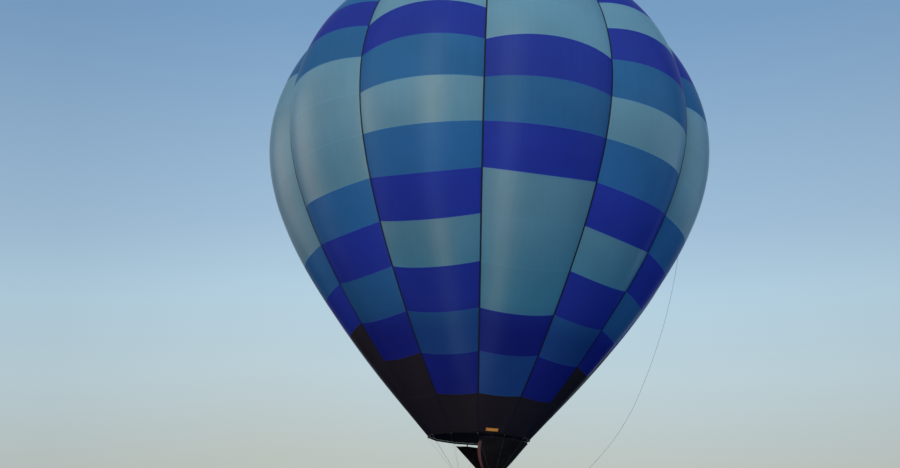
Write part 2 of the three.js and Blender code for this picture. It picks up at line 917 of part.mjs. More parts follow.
[-1, 1].forEach((side, i) => {
  const tank = addMesh(`fuel_cylinder_${i + 1}`, turned(fuelCylinderProfile, fuelCylinder.sides), silver);
  tank.position.set(fuelCylinder.x, side * fuelCylinder.y, cylinderBottom);
  const valve = addMesh(`cylinder_valve_${i + 1}`, turned(cylinderValveProfile, cylinderValve.sides), brass);
  valve.position.set(
    fuelCylinder.x,
    side * fuelCylinder.y,
    cylinderBottom + fuelCylinder.height + gap,
  );
});

// Crown line

const crownLineCurve = new THREE.CatmullRomCurve3(
  crownLineRoute.map(([reach, height]) => pointAt(crownLine.azimuth, reach, height)),
);
addMesh(
  'crown_line',
  tubeAlong(crownLineCurve, crownLine.radius, crownLine.sides, crownLine.steps),
  ropeBeige,
);

export default balloon;
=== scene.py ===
import random
from math import atan, cos, exp, hypot, pi, radians, sin, sqrt

import bmesh
import bpy
import numpy as np
from mathutils import Matrix, Vector


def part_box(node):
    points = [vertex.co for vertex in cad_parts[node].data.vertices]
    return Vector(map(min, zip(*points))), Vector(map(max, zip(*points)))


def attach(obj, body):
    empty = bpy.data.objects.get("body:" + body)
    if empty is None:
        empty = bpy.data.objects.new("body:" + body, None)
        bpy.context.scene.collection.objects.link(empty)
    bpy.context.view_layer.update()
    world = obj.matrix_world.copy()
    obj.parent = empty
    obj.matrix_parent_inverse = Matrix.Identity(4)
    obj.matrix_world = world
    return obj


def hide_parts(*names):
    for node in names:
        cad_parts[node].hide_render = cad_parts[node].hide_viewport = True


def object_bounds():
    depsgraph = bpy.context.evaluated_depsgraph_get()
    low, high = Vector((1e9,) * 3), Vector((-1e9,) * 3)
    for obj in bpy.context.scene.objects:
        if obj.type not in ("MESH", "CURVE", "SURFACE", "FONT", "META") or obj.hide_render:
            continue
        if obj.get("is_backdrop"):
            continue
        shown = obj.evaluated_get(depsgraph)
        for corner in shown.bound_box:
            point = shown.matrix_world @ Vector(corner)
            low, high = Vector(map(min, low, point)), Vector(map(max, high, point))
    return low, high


# A hot air balloon seen from the ground: checkered envelope, scoop, burner and basket.
# Metres, +Z up, origin on the axis at the widest height of the envelope, front towards -Y.

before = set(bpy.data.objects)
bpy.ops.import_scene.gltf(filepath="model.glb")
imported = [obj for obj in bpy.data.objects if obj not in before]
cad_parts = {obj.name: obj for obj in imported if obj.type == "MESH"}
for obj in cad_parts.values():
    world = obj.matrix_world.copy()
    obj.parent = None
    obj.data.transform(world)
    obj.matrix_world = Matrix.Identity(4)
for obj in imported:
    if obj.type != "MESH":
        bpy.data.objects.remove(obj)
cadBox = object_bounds()
print("frame loaded:", len(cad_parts), "nodes")

scene = bpy.context.scene
scene.view_settings.view_transform = "Standard"

# camera

cameraView = {
    "place": (0.6007, -30.8383, -15.1889),
    "yaw": -0.0638,
    "pitch": 0.3607,
    "roll": 0.0454,
    "lens": 33.447,
}


def addCamera():
    yaw, pitch, roll = cameraView["yaw"], cameraView["pitch"], cameraView["roll"]
    ahead = Vector((sin(yaw) * cos(pitch), cos(yaw) * cos(pitch), sin(pitch)))
    level = Vector((cos(yaw), -sin(yaw), 0))
    above = level.cross(ahead)
    right = level * cos(roll) + above * sin(roll)
    up = above * cos(roll) - level * sin(roll)
    turn = Matrix((right, up, -ahead)).transposed().to_4x4()
    data = bpy.data.cameras.new("camera")
    data.lens = cameraView["lens"]
    data.sensor_width = 36
    data.clip_end = 500
    camera = bpy.data.objects.new("camera", data)
    camera.matrix_world = Matrix.Translation(cameraView["place"]) @ turn
    scene.collection.objects.link(camera)
    scene.camera = camera


addCamera()

# helpers for meshes


def newPiece(name, points, faces, looks=(), smooth=True):
    mesh = bpy.data.meshes.new(name)
    mesh.from_pydata([tuple(p) for p in points], [], [tuple(f) for f in faces])
    mesh.update()
    mesh.polygons.foreach_set("use_smooth", [smooth] * len(mesh.polygons))
    for look in looks:
        mesh.materials.append(look)
    piece = bpy.data.objects.new(name, mesh)
    scene.collection.objects.link(piece)
    return piece


def storeNumbers(piece, name, values, domain="POINT"):
    layer = piece.data.attributes.new(name, "FLOAT", domain)
    layer.data.foreach_set("value", np.asarray(values, np.float32).ravel())


def storeMap(piece, name, pointMap):
    # one pair of numbers for each point, spread to the corners
    corners = np.empty(len(piece.data.loops), np.int64)
    piece.data.loops.foreach_get("vertex_index", corners)
    layer = piece.data.uv_layers.new(name=name)
    layer.data.foreach_set("uv", np.asarray(pointMap, np.float32)[corners].ravel())


def upward(height):
    return Vector((0, 0, height))


def circleAngles(steps):
    return [2 * pi * k / steps for k in range(steps)]


def pointRing(centre, across, up, radius, sides):
    return [centre + across * (radius * cos(a)) + up * (radius * sin(a)) for a in circleAngles(sides)]


def sweepFrames(path, closed):
    # directions along a path, carried on without twist
    count = len(path)
    along = []
    for i in range(count):
        before = path[(i - 1) % count] if closed or i > 0 else path[i]
        after = path[(i + 1) % count] if closed or i < count - 1 else path[i]
        along.append((after - before).normalized())
    side = along[0].cross(upward(1))
    if side.length < 0.1:
        side = along[0].cross(Vector((1, 0, 0)))
    frames = []
    for direction in along:
        side = (side - direction * side.dot(direction)).normalized()
        frames.append((side, direction.cross(side)))
    return frames


def settle(piece, body, slot, *nodes):
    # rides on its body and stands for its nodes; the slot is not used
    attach(piece, body)
    if nodes:
        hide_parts(*nodes)
    return piece


def gridSize(rows, wrapAcross=False):
    # widest row, longest column and area of a grid of points
    grid = np.array([[tuple(p) for p in row] for row in rows])
    if wrapAcross:
        grid = np.concatenate([grid, grid[:, :1]], axis=1)
    across = np.diff(grid, axis=1)
    along = np.diff(grid, axis=0)
    area = np.linalg.norm(np.cross(across[:-1], along[:, :-1]), axis=2).sum() / 2
    area += np.linalg.norm(np.cross(across[1:], along[:, 1:]), axis=2).sum() / 2
    width = np.linalg.norm(across, axis=2).sum(1).max()
    length = np.linalg.norm(along, axis=2).sum(0).max()
    return float(width), float(length), float(area)


def declareSheet(rows, wrapAcross=False):
    width, length, area = gridSize(rows, wrapAcross)


class Form:
    # shapes gathered into one piece, with a surface map and material slots

    def __init__(self):
        self.points, self.faces, self.maps, self.slots = [], [], [], []

    def add(self, points, faces, maps=None, slot=0):
        base = len(self.points)
        self.points += [Vector(p) for p in points]
        for i, face in enumerate(faces):
            self.faces.append([base + k for k in face])
            self.maps += maps[i] if maps else [(points[k][0] + points[k][1], points[k][2]) for k in face]
            self.slots.append(slot)

    def grid(self, rows, wrapAcross=False, wrapAlong=False, slot=0, capped=False):
        # rows run along the shape, and points turn to the left across it, seen from the last row
        count, across = len(rows), len(rows[0])
        along, width = [0.0], [0.0]
        for i in range(count):
            along.append(along[-1] + (rows[(i + 1) % count][0] - rows[i][0]).length)
        for j in range(across):
            step = 1 / across if wrapAcross else (rows[0][(j + 1) % across] - rows[0][j]).length
            width.append(width[-1] + step)
        faces, maps = [], []
        for i in range(count if wrapAlong else count - 1):
            n = (i + 1) % count
            for j in range(across if wrapAcross else across - 1):
                k = (j + 1) % across
                faces.append((i * across + j, i * across + k, n * across + k, n * across + j))
                maps.append([
                    (width[j], along[i]), (width[j + 1], along[i]),
                    (width[j + 1], along[i + 1]), (width[j], along[i + 1]),
                ])
        if capped:
            last = (count - 1) * across
            faces += [tuple(reversed(range(across))), tuple(last + j for j in range(across))]
            maps += [[(0.0, 0.0)] * across, [(0.0, 0.0)] * across]
        self.add([p for row in rows for p in row], faces, maps, slot)

    def tube(self, path, radius, sides=12, closed=False, slot=0, squeeze=None):
        path = [Vector(p) for p in path]
        rows = []
        for i, (centre, (side, up)) in enumerate(zip(path, sweepFrames(path, closed))):
            size = radius[i] if hasattr(radius, "__len__") else radius
            up = up * squeeze if squeeze else up
            rows.append(pointRing(centre, side, up, size, sides))
        self.grid(rows, wrapAcross=True, wrapAlong=closed, slot=slot, capped=not closed)

    def lathe(self, profile, centre=(0, 0, 0), sides=40, slot=0, axis=(0, 0, 1), closed=False):
        # profile rows of radius and height, turning left round the wall
        axis = Vector(axis).normalized()
        side = axis.cross(Vector((0, 1, 0) if abs(axis.y) < 0.9 else (0, 0, 1))).normalized()
        up = axis.cross(side)
        centre = Vector(centre)
        rows = [pointRing(centre + axis * height, side, up, radius, sides) for radius, height in profile]
        self.grid(rows, wrapAcross=True, wrapAlong=closed, slot=slot, capped=not closed)

    def rod(self, start, end, radius, sides=16, slot=0):
        # a straight bar with eased ends
        length = (end - start).length
        ease = radius * 0.1
        profile = ((radius - ease, 0), (radius, ease), (radius, length - ease), (radius - ease, length))
        self.lathe(profile, start, sides, slot, end - start)

    def block(self, centre, size, bevel=0.002, segments=2, slot=0):
        form = bmesh.new()
        bmesh.ops.create_cube(form, size=1)
        bmesh.ops.scale(form, vec=Vector(size), verts=form.verts)
        bmesh.ops.bevel(
            form, geom=form.edges[:], offset=bevel, segments=segments, profile=0.5, affect="EDGES",
        )
        form.verts.index_update()
        points = [p.co + Vector(centre) for p in form.verts]
        self.add(points, [[p.index for p in face.verts] for face in form.faces], None, slot)
        form.free()

    def bolt(self, place, direction, size=0.008, slot=0):
        # washer, six-sided head and its eased top
        washer = ((size * 1.25, 0), (size * 1.25, size * 0.2))
        head = ((size, size * 0.2), (size, size * 0.75), (size * 0.86, size * 0.85))
        self.lathe(washer, place, 16, slot, direction)
        self.lathe(head, place, 6, slot, direction)

    def sheet(self, rows, thickness, wrapAcross=False, slot=0):
        # cloth of even thickness behind a grid of points
        grid = np.array([[tuple(p) for p in row] for row in rows])
        if wrapAcross:
            across = np.roll(grid, -1, axis=1) - np.roll(grid, 1, axis=1)
        else:
            across = np.gradient(grid, axis=1)
        along = np.gradient(grid, axis=0)
        normals = np.cross(across, along)
        normals /= np.linalg.norm(normals, axis=2, keepdims=True)
        inner = grid - normals * thickness
        count, width = grid.shape[:2]
        size = count * width
        runs = np.linalg.norm(np.diff(grid, axis=0), axis=2).mean(1).cumsum()
        v = [0.0, *runs]
        steps = np.linalg.norm(np.diff(grid, axis=1), axis=2).mean(0).cumsum()
        u = [0.0, *steps, *([steps[-1] + steps[0]] if wrapAcross else [])]
        faces, maps = [], []
        spans = width if wrapAcross else width - 1
        for i in range(count - 1):
            for j in range(spans):
                a, b = i * width + j, i * width + (j + 1) % width
                c, d = b + width, a + width
                square = [(u[j], v[i]), (u[j + 1], v[i]), (u[j + 1], v[i + 1]), (u[j], v[i + 1])]
                faces += [(a, b, c, d), (size + a, size + d, size + c, size + b)]
                maps += [square, [square[0], square[3], square[2], square[1]]]
        last = (count - 1) * width
        for j in range(spans):
            k = (j + 1) % width
            faces += [(j, size + j, size + k, k), (last + j, last + k, size + last + k, size + last + j)]
            maps += [[(u[j], 0.0)] * 2 + [(u[j + 1], 0.0)] * 2, [(u[j], v[-1]), (u[j + 1], v[-1])] * 2]
        if not wrapAcross:
            for i in range(count - 1):
                a, d = i * width, (i + 1) * width
                b, c = a + width - 1, d + width - 1
                faces += [(a, d, size + d, size + a), (b, size + b, size + c, c)]
                maps += [[(0.0, v[i]), (0.0, v[i + 1])] * 2, [(u[-1], v[i]), (u[-1], v[i + 1])] * 2]
        self.add([p for part in (grid, inner) for row in part for p in row], faces, maps, slot)

    def piece(self, name, looks, body="airframe", slot="alloy", replaced=(), sharp=35):
        made = newPiece(name, self.points, self.faces, looks)
        made.data.polygons.foreach_set("material_index", self.slots)
        layer = made.data.uv_layers.new(name="surface")
        layer.data.foreach_set("uv", np.asarray(self.maps, np.float32).ravel())
        made.data.set_sharp_from_angle(angle=radians(sharp))
        return settle(made, body, slot, *replaced)


def roundedLoop(halfX, halfY, corner, height, spacing=0.02):
    # points round a rectangle with round corners, turning left seen from above
    path = []

    def cornerPoint(sx, sy, degrees):
        angle = radians(degrees)
        centre = Vector((sx * (halfX - corner), sy * (halfY - corner), height))
        return centre + Vector((cos(angle), sin(angle), 0)) * corner

    corners = ((1, -1, -90), (1, 1, 0), (-1, 1, 90), (-1, -1, 180))
    steps = max(3, round(corner * pi / 2 / spacing))
    for i, (sx, sy, start) in enumerate(corners):
        path += [cornerPoint(sx, sy, start + 90 * j / steps) for j in range(steps + 1)]
        target = cornerPoint(*corners[(i + 1) % 4])
        straight = max(1, round((target - path[-1]).length / spacing))
        last = path[-1]
        path += [last.lerp(target, j / straight) for j in range(1, straight)]
    return path


class Growth:
    # a Geometry Nodes tree with short calls, and its run on a path

    kinds = {float: "NodeSocketFloat", int: "NodeSocketInt", str: "NodeSocketMaterial"}

    def __init__(self, name, **inputs):
        self.tree = bpy.data.node_groups.new(name, "GeometryNodeTree")
        face = self.tree.interface
        face.new_socket("Path", in_out="INPUT", socket_type="NodeSocketGeometry")
        for label, value in inputs.items():
            made = face.new_socket(label, in_out="INPUT", socket_type=self.kinds[type(value)])
            if not isinstance(value, str):
                made.default_value = value
        face.new_socket("Shape", in_out="OUTPUT", socket_type="NodeSocketGeometry")
        self.entry = self.tree.nodes.new("NodeGroupInput").outputs
        self.exit = self.tree.nodes.new("NodeGroupOutput").inputs

    def node(self, kind, *values, settings=None, **named):
        # a kind without Node in its name is a geometry node
        made = self.tree.nodes.new(kind if "Node" in kind else "GeometryNode" + kind)
        for key, value in (settings or {}).items():
            setattr(made, key, value)
        given = [(made.inputs[key.replace("_", " ")], value) for key, value in named.items()]
        for socket, value in [*zip(made.inputs, values), *given]:
            if isinstance(value, bpy.types.NodeSocket):
                self.tree.links.new(value, socket)
            elif value is not None:
                socket.default_value = value
        return made.outputs

    def math(self, operation, a, b=0.0):
        return self.node("ShaderNodeMath", a, b, settings={"operation": operation})[0]

    def upward(self, height):
        return self.node("ShaderNodeCombineXYZ", 0.0, 0.0, height)[0]

    def read(self, name, kind="FLOAT"):
        return self.node("InputNamedAttribute", name, settings={"data_type": kind})[0]

    def store(self, shape, name, value):
        settings = {"data_type": "FLOAT", "domain": "POINT"}
        return self.node("StoreNamedAttribute", shape, None, name, value, settings=settings)[0]

    def evenly(self, curve, count):
        return self.node("ResampleCurve", Curve=curve, Count=count, settings={"mode": "COUNT"})[0]

    def finish(self, shape, look):
        solid = self.node("RealizeInstances", shape)[0]
        worn = self.node("SetMaterial", Geometry=solid, Material=look)[0]
        self.tree.links.new(worn, self.exit[0])

    def run(self, name, values, paths, lay):
        # paths are lists of points, closed where the last equals the first
        points, edges = [], []
        for path in paths:
            base = len(points)
            closed = len(path) > 2 and (Vector(path[0]) - Vector(path[-1])).length < 1e-6
            path = path[:-1] if closed else path
            points += [tuple(p) for p in path]
            edges += [(base + i, base + i + 1) for i in range(len(path) - 1)]
            edges += [(base + len(path) - 1, base)] if closed else []
        mesh = bpy.data.meshes.new(name)
        mesh.from_pydata(points, edges, [])
        layer = mesh.attributes.new("lay", "FLOAT_VECTOR", "POINT")
        layer.data.foreach_set("vector", np.asarray([tuple(v) for v in lay], np.float32).ravel())
        piece = bpy.data.objects.new(name, mesh)
        scene.collection.objects.link(piece)
        modifier = piece.modifiers.new("growth", "NODES")
        modifier.node_group = self.tree
        for item in self.tree.interface.items_tree:
            if item.item_type == "SOCKET" and item.in_out == "INPUT" and item.name in values:
                modifier[item.identifier] = values[item.name]
        evaluated = piece.evaluated_get(bpy.context.evaluated_depsgraph_get())
        grown = bpy.data.meshes.new_from_object(evaluated)
        piece.modifiers.remove(modifier)
        piece.data = grown
        return piece


def studTree():
    # small rounded shapes along a path: stitches, rivets, jets
    growth = Growth("studsAlongPath", Spacing=0.02, Radius=0.002, Length=0.008, Sides=6, Rings=4, Look="")
    entry = growth.entry
    line = growth.node("MeshToCurve", entry["Path"])[0]
    places = growth.node("ResampleCurve", Curve=line, Length=entry["Spacing"], settings={"mode": "LENGTH"})[0]
    lay = growth.read("lay", "FLOAT_VECTOR")
    turn = growth.node("FunctionNodeAlignRotationToVector", Vector=lay, settings={"axis": "Z"})[0]
    ball = growth.node("MeshUVSphere", Segments=entry["Sides"], Rings=entry["Rings"], Radius=1.0)[0]
    half = growth.math("MULTIPLY", entry["Length"], 0.5)
    size = growth.node("ShaderNodeCombineXYZ", entry["Radius"], entry["Radius"], half)[0]
    shape = growth.node("Transform", Geometry=ball, Scale=size)[0]
    smooth = growth.node("SetShadeSmooth", Geometry=shape)[0]
    placed = growth.node("InstanceOnPoints", Points=places, Instance=smooth, Rotation=turn)[0]
    growth.finish(placed, entry["Look"])
    return growth


studs = studTree()


def addStuds(name, look, sizes, paths, lay, body="airframe", slot="leather", sides=6):
    # sizes are the spacing, the radius and the length of a stud
    values = {"Spacing": sizes[0], "Radius": sizes[1], "Length": sizes[2], "Sides": sides, "Look": look}
    settle(studs.run(name, values, paths, lay), body, slot)


# helpers for materials


def tinted(colour, share, more=0.0):
    return tuple(min(1, c * share + more) for c in colour)


class Nodes:
    # short calls for the nodes of a material or of the world

    def __init__(self, tree):
        self.tree = tree

    def node(self, kind, **values):
        made = self.tree.nodes.new(kind)
        for key, value in values.items():
            if hasattr(made, key):
                setattr(made, key, value)
            else:
                self.put(made.inputs[key.replace("_", " ")], value)
        return made

    def put(self, socket, value):
        if isinstance(value, bpy.types.NodeSocket):
            self.tree.links.new(value, socket)
        else:
            socket.default_value = value

    def math(self, operation, a, b=0.0, c=0.0):
        made = self.node("ShaderNodeMath", operation=operation)
        for socket, value in zip(made.inputs, (a, b, c)):
            self.put(socket, value)
        return made.outputs[0]

    def times(self, a, b):
        return self.math("MULTIPLY", a, b)

    def ramp(self, value, low, high, start=0.0, end=1.0, shape="SMOOTHSTEP"):
        made = self.node("ShaderNodeMapRange", interpolation_type=shape)
        for socket, given in zip(made.inputs[:5], (value, low, high, start, end)):
            self.put(socket, given)
        return made.outputs[0]

    def mix(self, share, a, b):
        made = self.node("ShaderNodeMix", data_type="RGBA")
        self.put(made.inputs[0], share)
        for socket, value in ((made.inputs[6], a), (made.inputs[7], b)):
            self.put(socket, (*value, 1) if isinstance(value, (tuple, list)) else value)
        return made.outputs[2]

    def choose(self, share, first, second):
        made = self.node("ShaderNodeMixShader")
        for socket, value in zip(made.inputs, (share, first, second)):
            self.put(socket, value)
        return made.outputs[0]


class Look(Nodes):
    # a material whose shader takes its settings by their names

    def __init__(self, name, **settings):
        self.material = bpy.data.materials.new(name)
        self.material.use_nodes = True
        super().__init__(self.material.node_tree)
        self.shader = next(n for n in self.tree.nodes if n.type == "BSDF_PRINCIPLED")
        self.wear(**settings)

    def attribute(self, name):
        return self.node("ShaderNodeAttribute", attribute_name=name).outputs["Fac"]

    def mapAxes(self, name):
        uv = self.node("ShaderNodeUVMap", uv_map=name).outputs[0]
        split = self.node("ShaderNodeSeparateXYZ", Vector=uv)
        return uv, split.outputs[0], split.outputs[1]

    def place(self):
        return self.node("ShaderNodeTexCoord").outputs["Object"]

    def scaled(self, vector, scale):
        return self.node("ShaderNodeMapping", Vector=vector, Scale=scale).outputs[0]

    def noise(self, vector, scale, detail=2.0, roughness=0.5):
        return self.node(
            "ShaderNodeTexNoise", Vector=vector, Scale=scale, Detail=detail, Roughness=roughness,
        ).outputs[0]

    def grain(self, stretch, scale, detail=2.0, roughness=0.5):
        # noise on the piece, stretched along its axes
        return self.noise(self.scaled(self.place(), stretch), scale, detail, roughness)

    def spots(self, scale, detail, low, high, start=0.0, end=1.0):
        # noise on the piece, between two values
        return self.ramp(self.noise(self.place(), scale, detail), low, high, start, end)

    def wave(self, value, length):
        return self.math("SINE", self.times(value, 2 * pi / length))

    def strands(self, count, pitch):
        # ridges that wind round a rope or cable
        _, around, along = self.mapAxes("surface")
        turns = self.math("ADD", self.times(around, count), self.math("DIVIDE", along, pitch))
        return self.math("SINE", self.times(self.math("FRACT", turns), pi))

    def bump(self, height, distance, strength=1.0, under=None):
        made = self.node("ShaderNodeBump", Height=height, Distance=distance, Strength=strength)
        if under is not None:
            self.put(made.inputs["Normal"], under)
        return made.outputs[0]

    def wear(self, **values):
        for socket, value in values.items():
            self.put(self.shader.inputs[socket.replace("_", " ")], value)
        return self.material


# shape of the envelope

envelopeShape = {
    # radius of the load tapes and height above the mouth at each panel seam
    "seams": (
        (1.846, 0.15), (2.88, 1.27), (3.9, 2.46), (4.84, 3.66), (5.76, 4.93),
        (6.59, 6.22), (7.27, 7.49), (7.82, 8.82), (8.15, 10.17), (8.22, 11.52),
        (8.01, 12.85), (7.58, 14.13), (6.88, 15.4), (5.95, 16.53), (4.83, 17.43),
        (3.57, 18.09), (2.23, 18.53),
    ),
    "tapeEnd": (0.11, 18.79),
    "mouthHeight": -11.52,
    "gores": 12,
    "bulge": 0.17,
    "bulgePower": 0.6,
    "thickness": 0.003,
    "columns": 40,
    "rowsPerPanel": 10,
    # distance from the middle of a tape at which the cloth ends under it
    "tapeEdge": 0.0095,
}

lastSeam = len(envelopeShape["seams"]) - 1
clothEnd = lastSeam - 0.0076  # row at the gores' cut edge, just short of the last seam
gores = range(envelopeShape["gores"])
goreAngle = 360 / envelopeShape["gores"]
halfGore = radians(goreAngle / 2)
meridianKnots = [
    (radius, height + envelopeShape["mouthHeight"])
    for radius, height in (*envelopeShape["seams"], envelopeShape["tapeEnd"])
]


def splinePoint(knots, place):
    # uniform Catmull-Rom through the knots
    last = len(knots) - 1
    i = min(int(place), last)
    w = place - i
    a = knots[max(i - 1, 0)]
    b = knots[i]
    c = knots[min(i + 1, last)]
    d = knots[min(i + 2, last)]
    point = []
    for p0, p1, p2, p3 in zip(a, b, c, d):
        v0, v1 = (p2 - p0) / 2, (p3 - p1) / 2
        cubic, square = 2 * p1 - 2 * p2 + v0 + v1, 3 * p2 - 3 * p1 - 2 * v0 - v1
        point.append(cubic * w**3 + square * w**2 + v0 * w + p1)
    return point


def meridianAt(row):
    # radius and height of a load tape at a seam number, and its outward normal
    step = 0.017
    top = len(meridianKnots) - 1
    radius, height = splinePoint(meridianKnots, row)
    aheadR, aheadZ = splinePoint(meridianKnots, min(top, row + step))
    behindR, behindZ = splinePoint(meridianKnots, max(0, row - step))
    length = hypot(aheadR - behindR, aheadZ - behindZ)
    return radius, height, (aheadZ - behindZ) / length, -(aheadR - behindR) / length


def outward(degrees):
    angle = radians(degrees)
    return Vector((sin(angle), -cos(angle), 0))


def pointAt(degrees, radius, height):
    point = outward(degrees) * radius
    point.z = height
    return point


def bulgeAt(row):
    share = min(max(row / lastSeam, 0), 1)
    return max(envelopeShape["bulge"] * sin(pi * share) ** envelopeShape["bulgePower"], 1e-3)


def goreStation(row):
    # the arc that a gore's cloth takes across at a seam number
    radius, height, normalR, normalZ = meridianAt(row)
    halfChord = radius * sin(halfGore)
    spread = 2 * atan(2 * bulgeAt(row))
    arcRadius = halfChord / sin(spread)
    return {
        "chord": radius * cos(halfGore),
        "height": height,
        "normalR": normalR,
        "normalZ": normalZ,
        "spread": spread,
        "arc": arcRadius,
        "centre": -arcRadius * cos(spread),
    }


def gorePoint(station, azimuth, across, inset=0.0):
    # across runs from -1 at the left tape to 1 at the right one
    angle = station["spread"] * across
    radius = station["arc"] - inset
    out = station["centre"] + radius * cos(angle)
    outDirection = outward(azimuth)
    sideDirection = outward(azimuth + 90)
    reach = station["chord"] + out * station["normalR"]
    point = outDirection * reach + sideDirection * (radius * sin(angle))
    point.z = station["height"] + out * station["normalZ"]
    return point


# crown line, the one free cord

crownLine = {
    "azimuth": 105,
    "diameter": 0.012,
    "sides": 8,
    "stepsPerPoint": 12,
    # the groove that it lies in on the cloth: half its width, the row where it starts and its depth,
    # at the seams and more between them
    "groove": {"reach": 0.06, "fromRow": 8.9, "atSeam": 0.004, "more": 0.032},
    # distance from the axis and height of each point of its route
    "route": (
        (0.1265, 7.284), (1.05, 7.19), (2.157, 7.03), (3.501, 6.693), (4.805, 6.123),
        (6.017, 5.283), (7.066, 4.165), (7.882, 2.858), (8.405, 1.494), (8.67, 0.038),
        (8.6, -1.455), (8.47, -2.25), (8.29, -3.2), (8.06, -4.27), (7.825, -5.19),
        (7.465, -6.39), (7.005, -7.65), (6.5, -8.84), (5.955, -9.94), (5.32, -10.92),
        (4.83, -11.52), (4.27, -12.11), (3.4, -12.876), (2.45, -13.574), (1.5, -14.13),
        (0.76, -14.463),
    ),
}


lineGore = int(crownLine["azimuth"] / goreAngle)


def centripetalPath(knots, steps):
    # Catmull-Rom with spans weighted by the root of their length
    knots = [np.array(p, float) for p in knots]
    ends = [2 * knots[0] - knots[1], *knots, 2 * knots[-1] - knots[-2]]
    path = []
    for i in range(len(knots) - 1):
        p0, p1, p2, p3 = ends[i:i + 4]
        t1 = np.linalg.norm(p1 - p0) ** 0.5
        t2 = t1 + np.linalg.norm(p2 - p1) ** 0.5
        t3 = t2 + np.linalg.norm(p3 - p2) ** 0.5
        for j in range(steps):
            t = t1 + (t2 - t1) * j / steps
            a1 = (t1 - t) / t1 * p0 + t / t1 * p1
            a2 = (t2 - t) / (t2 - t1) * p1 + (t - t1) / (t2 - t1) * p2
            a3 = (t3 - t) / (t3 - t2) * p2 + (t - t2) / (t3 - t2) * p3
            b1 = (t2 - t) / t2 * a1 + t / t2 * a2
            b2 = (t3 - t) / (t3 - t1) * a2 + (t - t1) / (t3 - t1) * a3
            path.append((t2 - t) / (t2 - t1) * b1 + (t - t1) / (t2 - t1) * b2)
    path.append(knots[-1])
    return path


def ropeLook(name, colour, strands, pitch):
    look = Look(name, Roughness=0.82)
    ridge = look.strands(strands, pitch)
    fibre = look.noise(look.place(), 900, 3)
    shade = look.math("MULTIPLY_ADD", fibre, 0.4, look.times(ridge, 0.6))
    return look.wear(
        Base_Color=look.mix(look.ramp(shade, 0.1, 0.75), tinted(colour, 0.45), colour),
        Normal=look.bump(ridge, 0.002, 0.8, look.bump(fibre, 0.0006, 0.5)),
    )


lineLook = ropeLook("crownLineRope", (0.3, 0.34, 0.38), 3, 0.036)


def makeCrownLine():
    path = [
        pointAt(crownLine["azimuth"], reach, height)
        for reach, height in centripetalPath(crownLine["route"], crownLine["stepsPerPoint"])
    ]
    form = Form()
    form.tube(path, crownLine["diameter"] / 2, crownLine["sides"])
    rope = form.piece("crown_line_rope", [lineLook], slot="rope", replaced=["crown_line"])


makeCrownLine()

# cloth of the envelope

# linear colour and gloss of each cloth, and the shares of red, green and blue that are left of the colour
# under painted shade just above the mouth, and under painted light from its given rows upwards
clothColours = {
    "aqua": {
        "colour": (0.049, 0.215, 0.354), "paintedLowShade": (0.75, 0.62, 0.86), "paintedTopLight": (1.53, 0.935, 0.868),
        "paintedTopLightRows": (3.0, 5.6), "gloss": 0.31, "mattFrom": (0.4, 0.78), "tint": (1.0, 0.82, 0.35),
    },
    "blue": {
        "colour": (0.0185, 0.1, 0.282), "paintedLowShade": (0.68, 0.57, 0.84), "paintedTopLight": (0.92, 0.9, 0.82),
        "paintedTopLightRows": (6.6, 7.6), "gloss": 0.09, "mattFrom": (0.2, 0.62), "tint": (0.7, 1.0, 1.0),
    },
    "royal": {
        "colour": (0.0145, 0.03, 0.292), "paintedLowShade": (0.66, 0.56, 0.71), "paintedTopLight": (0.95, 0.93, 0.79),
        "paintedTopLightRows": (6.6, 7.6), "gloss": 0.07, "mattFrom": (0.2, 0.62), "tint": (0.6, 1.0, 1.0),
    },
    "black": {
        "colour": (0.0245, 0.0265, 0.029), "paintedLowShade": (0.75, 0.62, 0.86), "paintedTopLight": (1.0, 1.0, 1.0),
        "paintedTopLightRows": (6.6, 7.6), "gloss": 0.04, "mattFrom": (0.2, 0.62), "tint": (1.0, 0.8, 0.6),
    },
}
clothFinish = {
    "roughness": 0.34, "edgeGloss": 0.05,
    "seamHalfWidth": 0.014, "seamShade": 0.22, "panelHeight": 1.45,
    # the dark hem by the tapes is a seam allowance and also painted shade of the valleys between gores
    "tapeHem": 0.017, "hemAndPaintedValleyShade": (0.006, 0.01, 0.028),
    "puckerReach": 0.35, "puckerPitch": 0.09,
    # rows where the painted shade above the mouth fades out, and rows and strength of the painted glow on the
    # inside
    "paintedLowShadeRows": (2.5, 3.4), "glowRows": (2.5, 8.0), "glow": (0.04, 0.32),
    # each panel's own tone lies between these
    "tones": (0.965, 1.035),
}


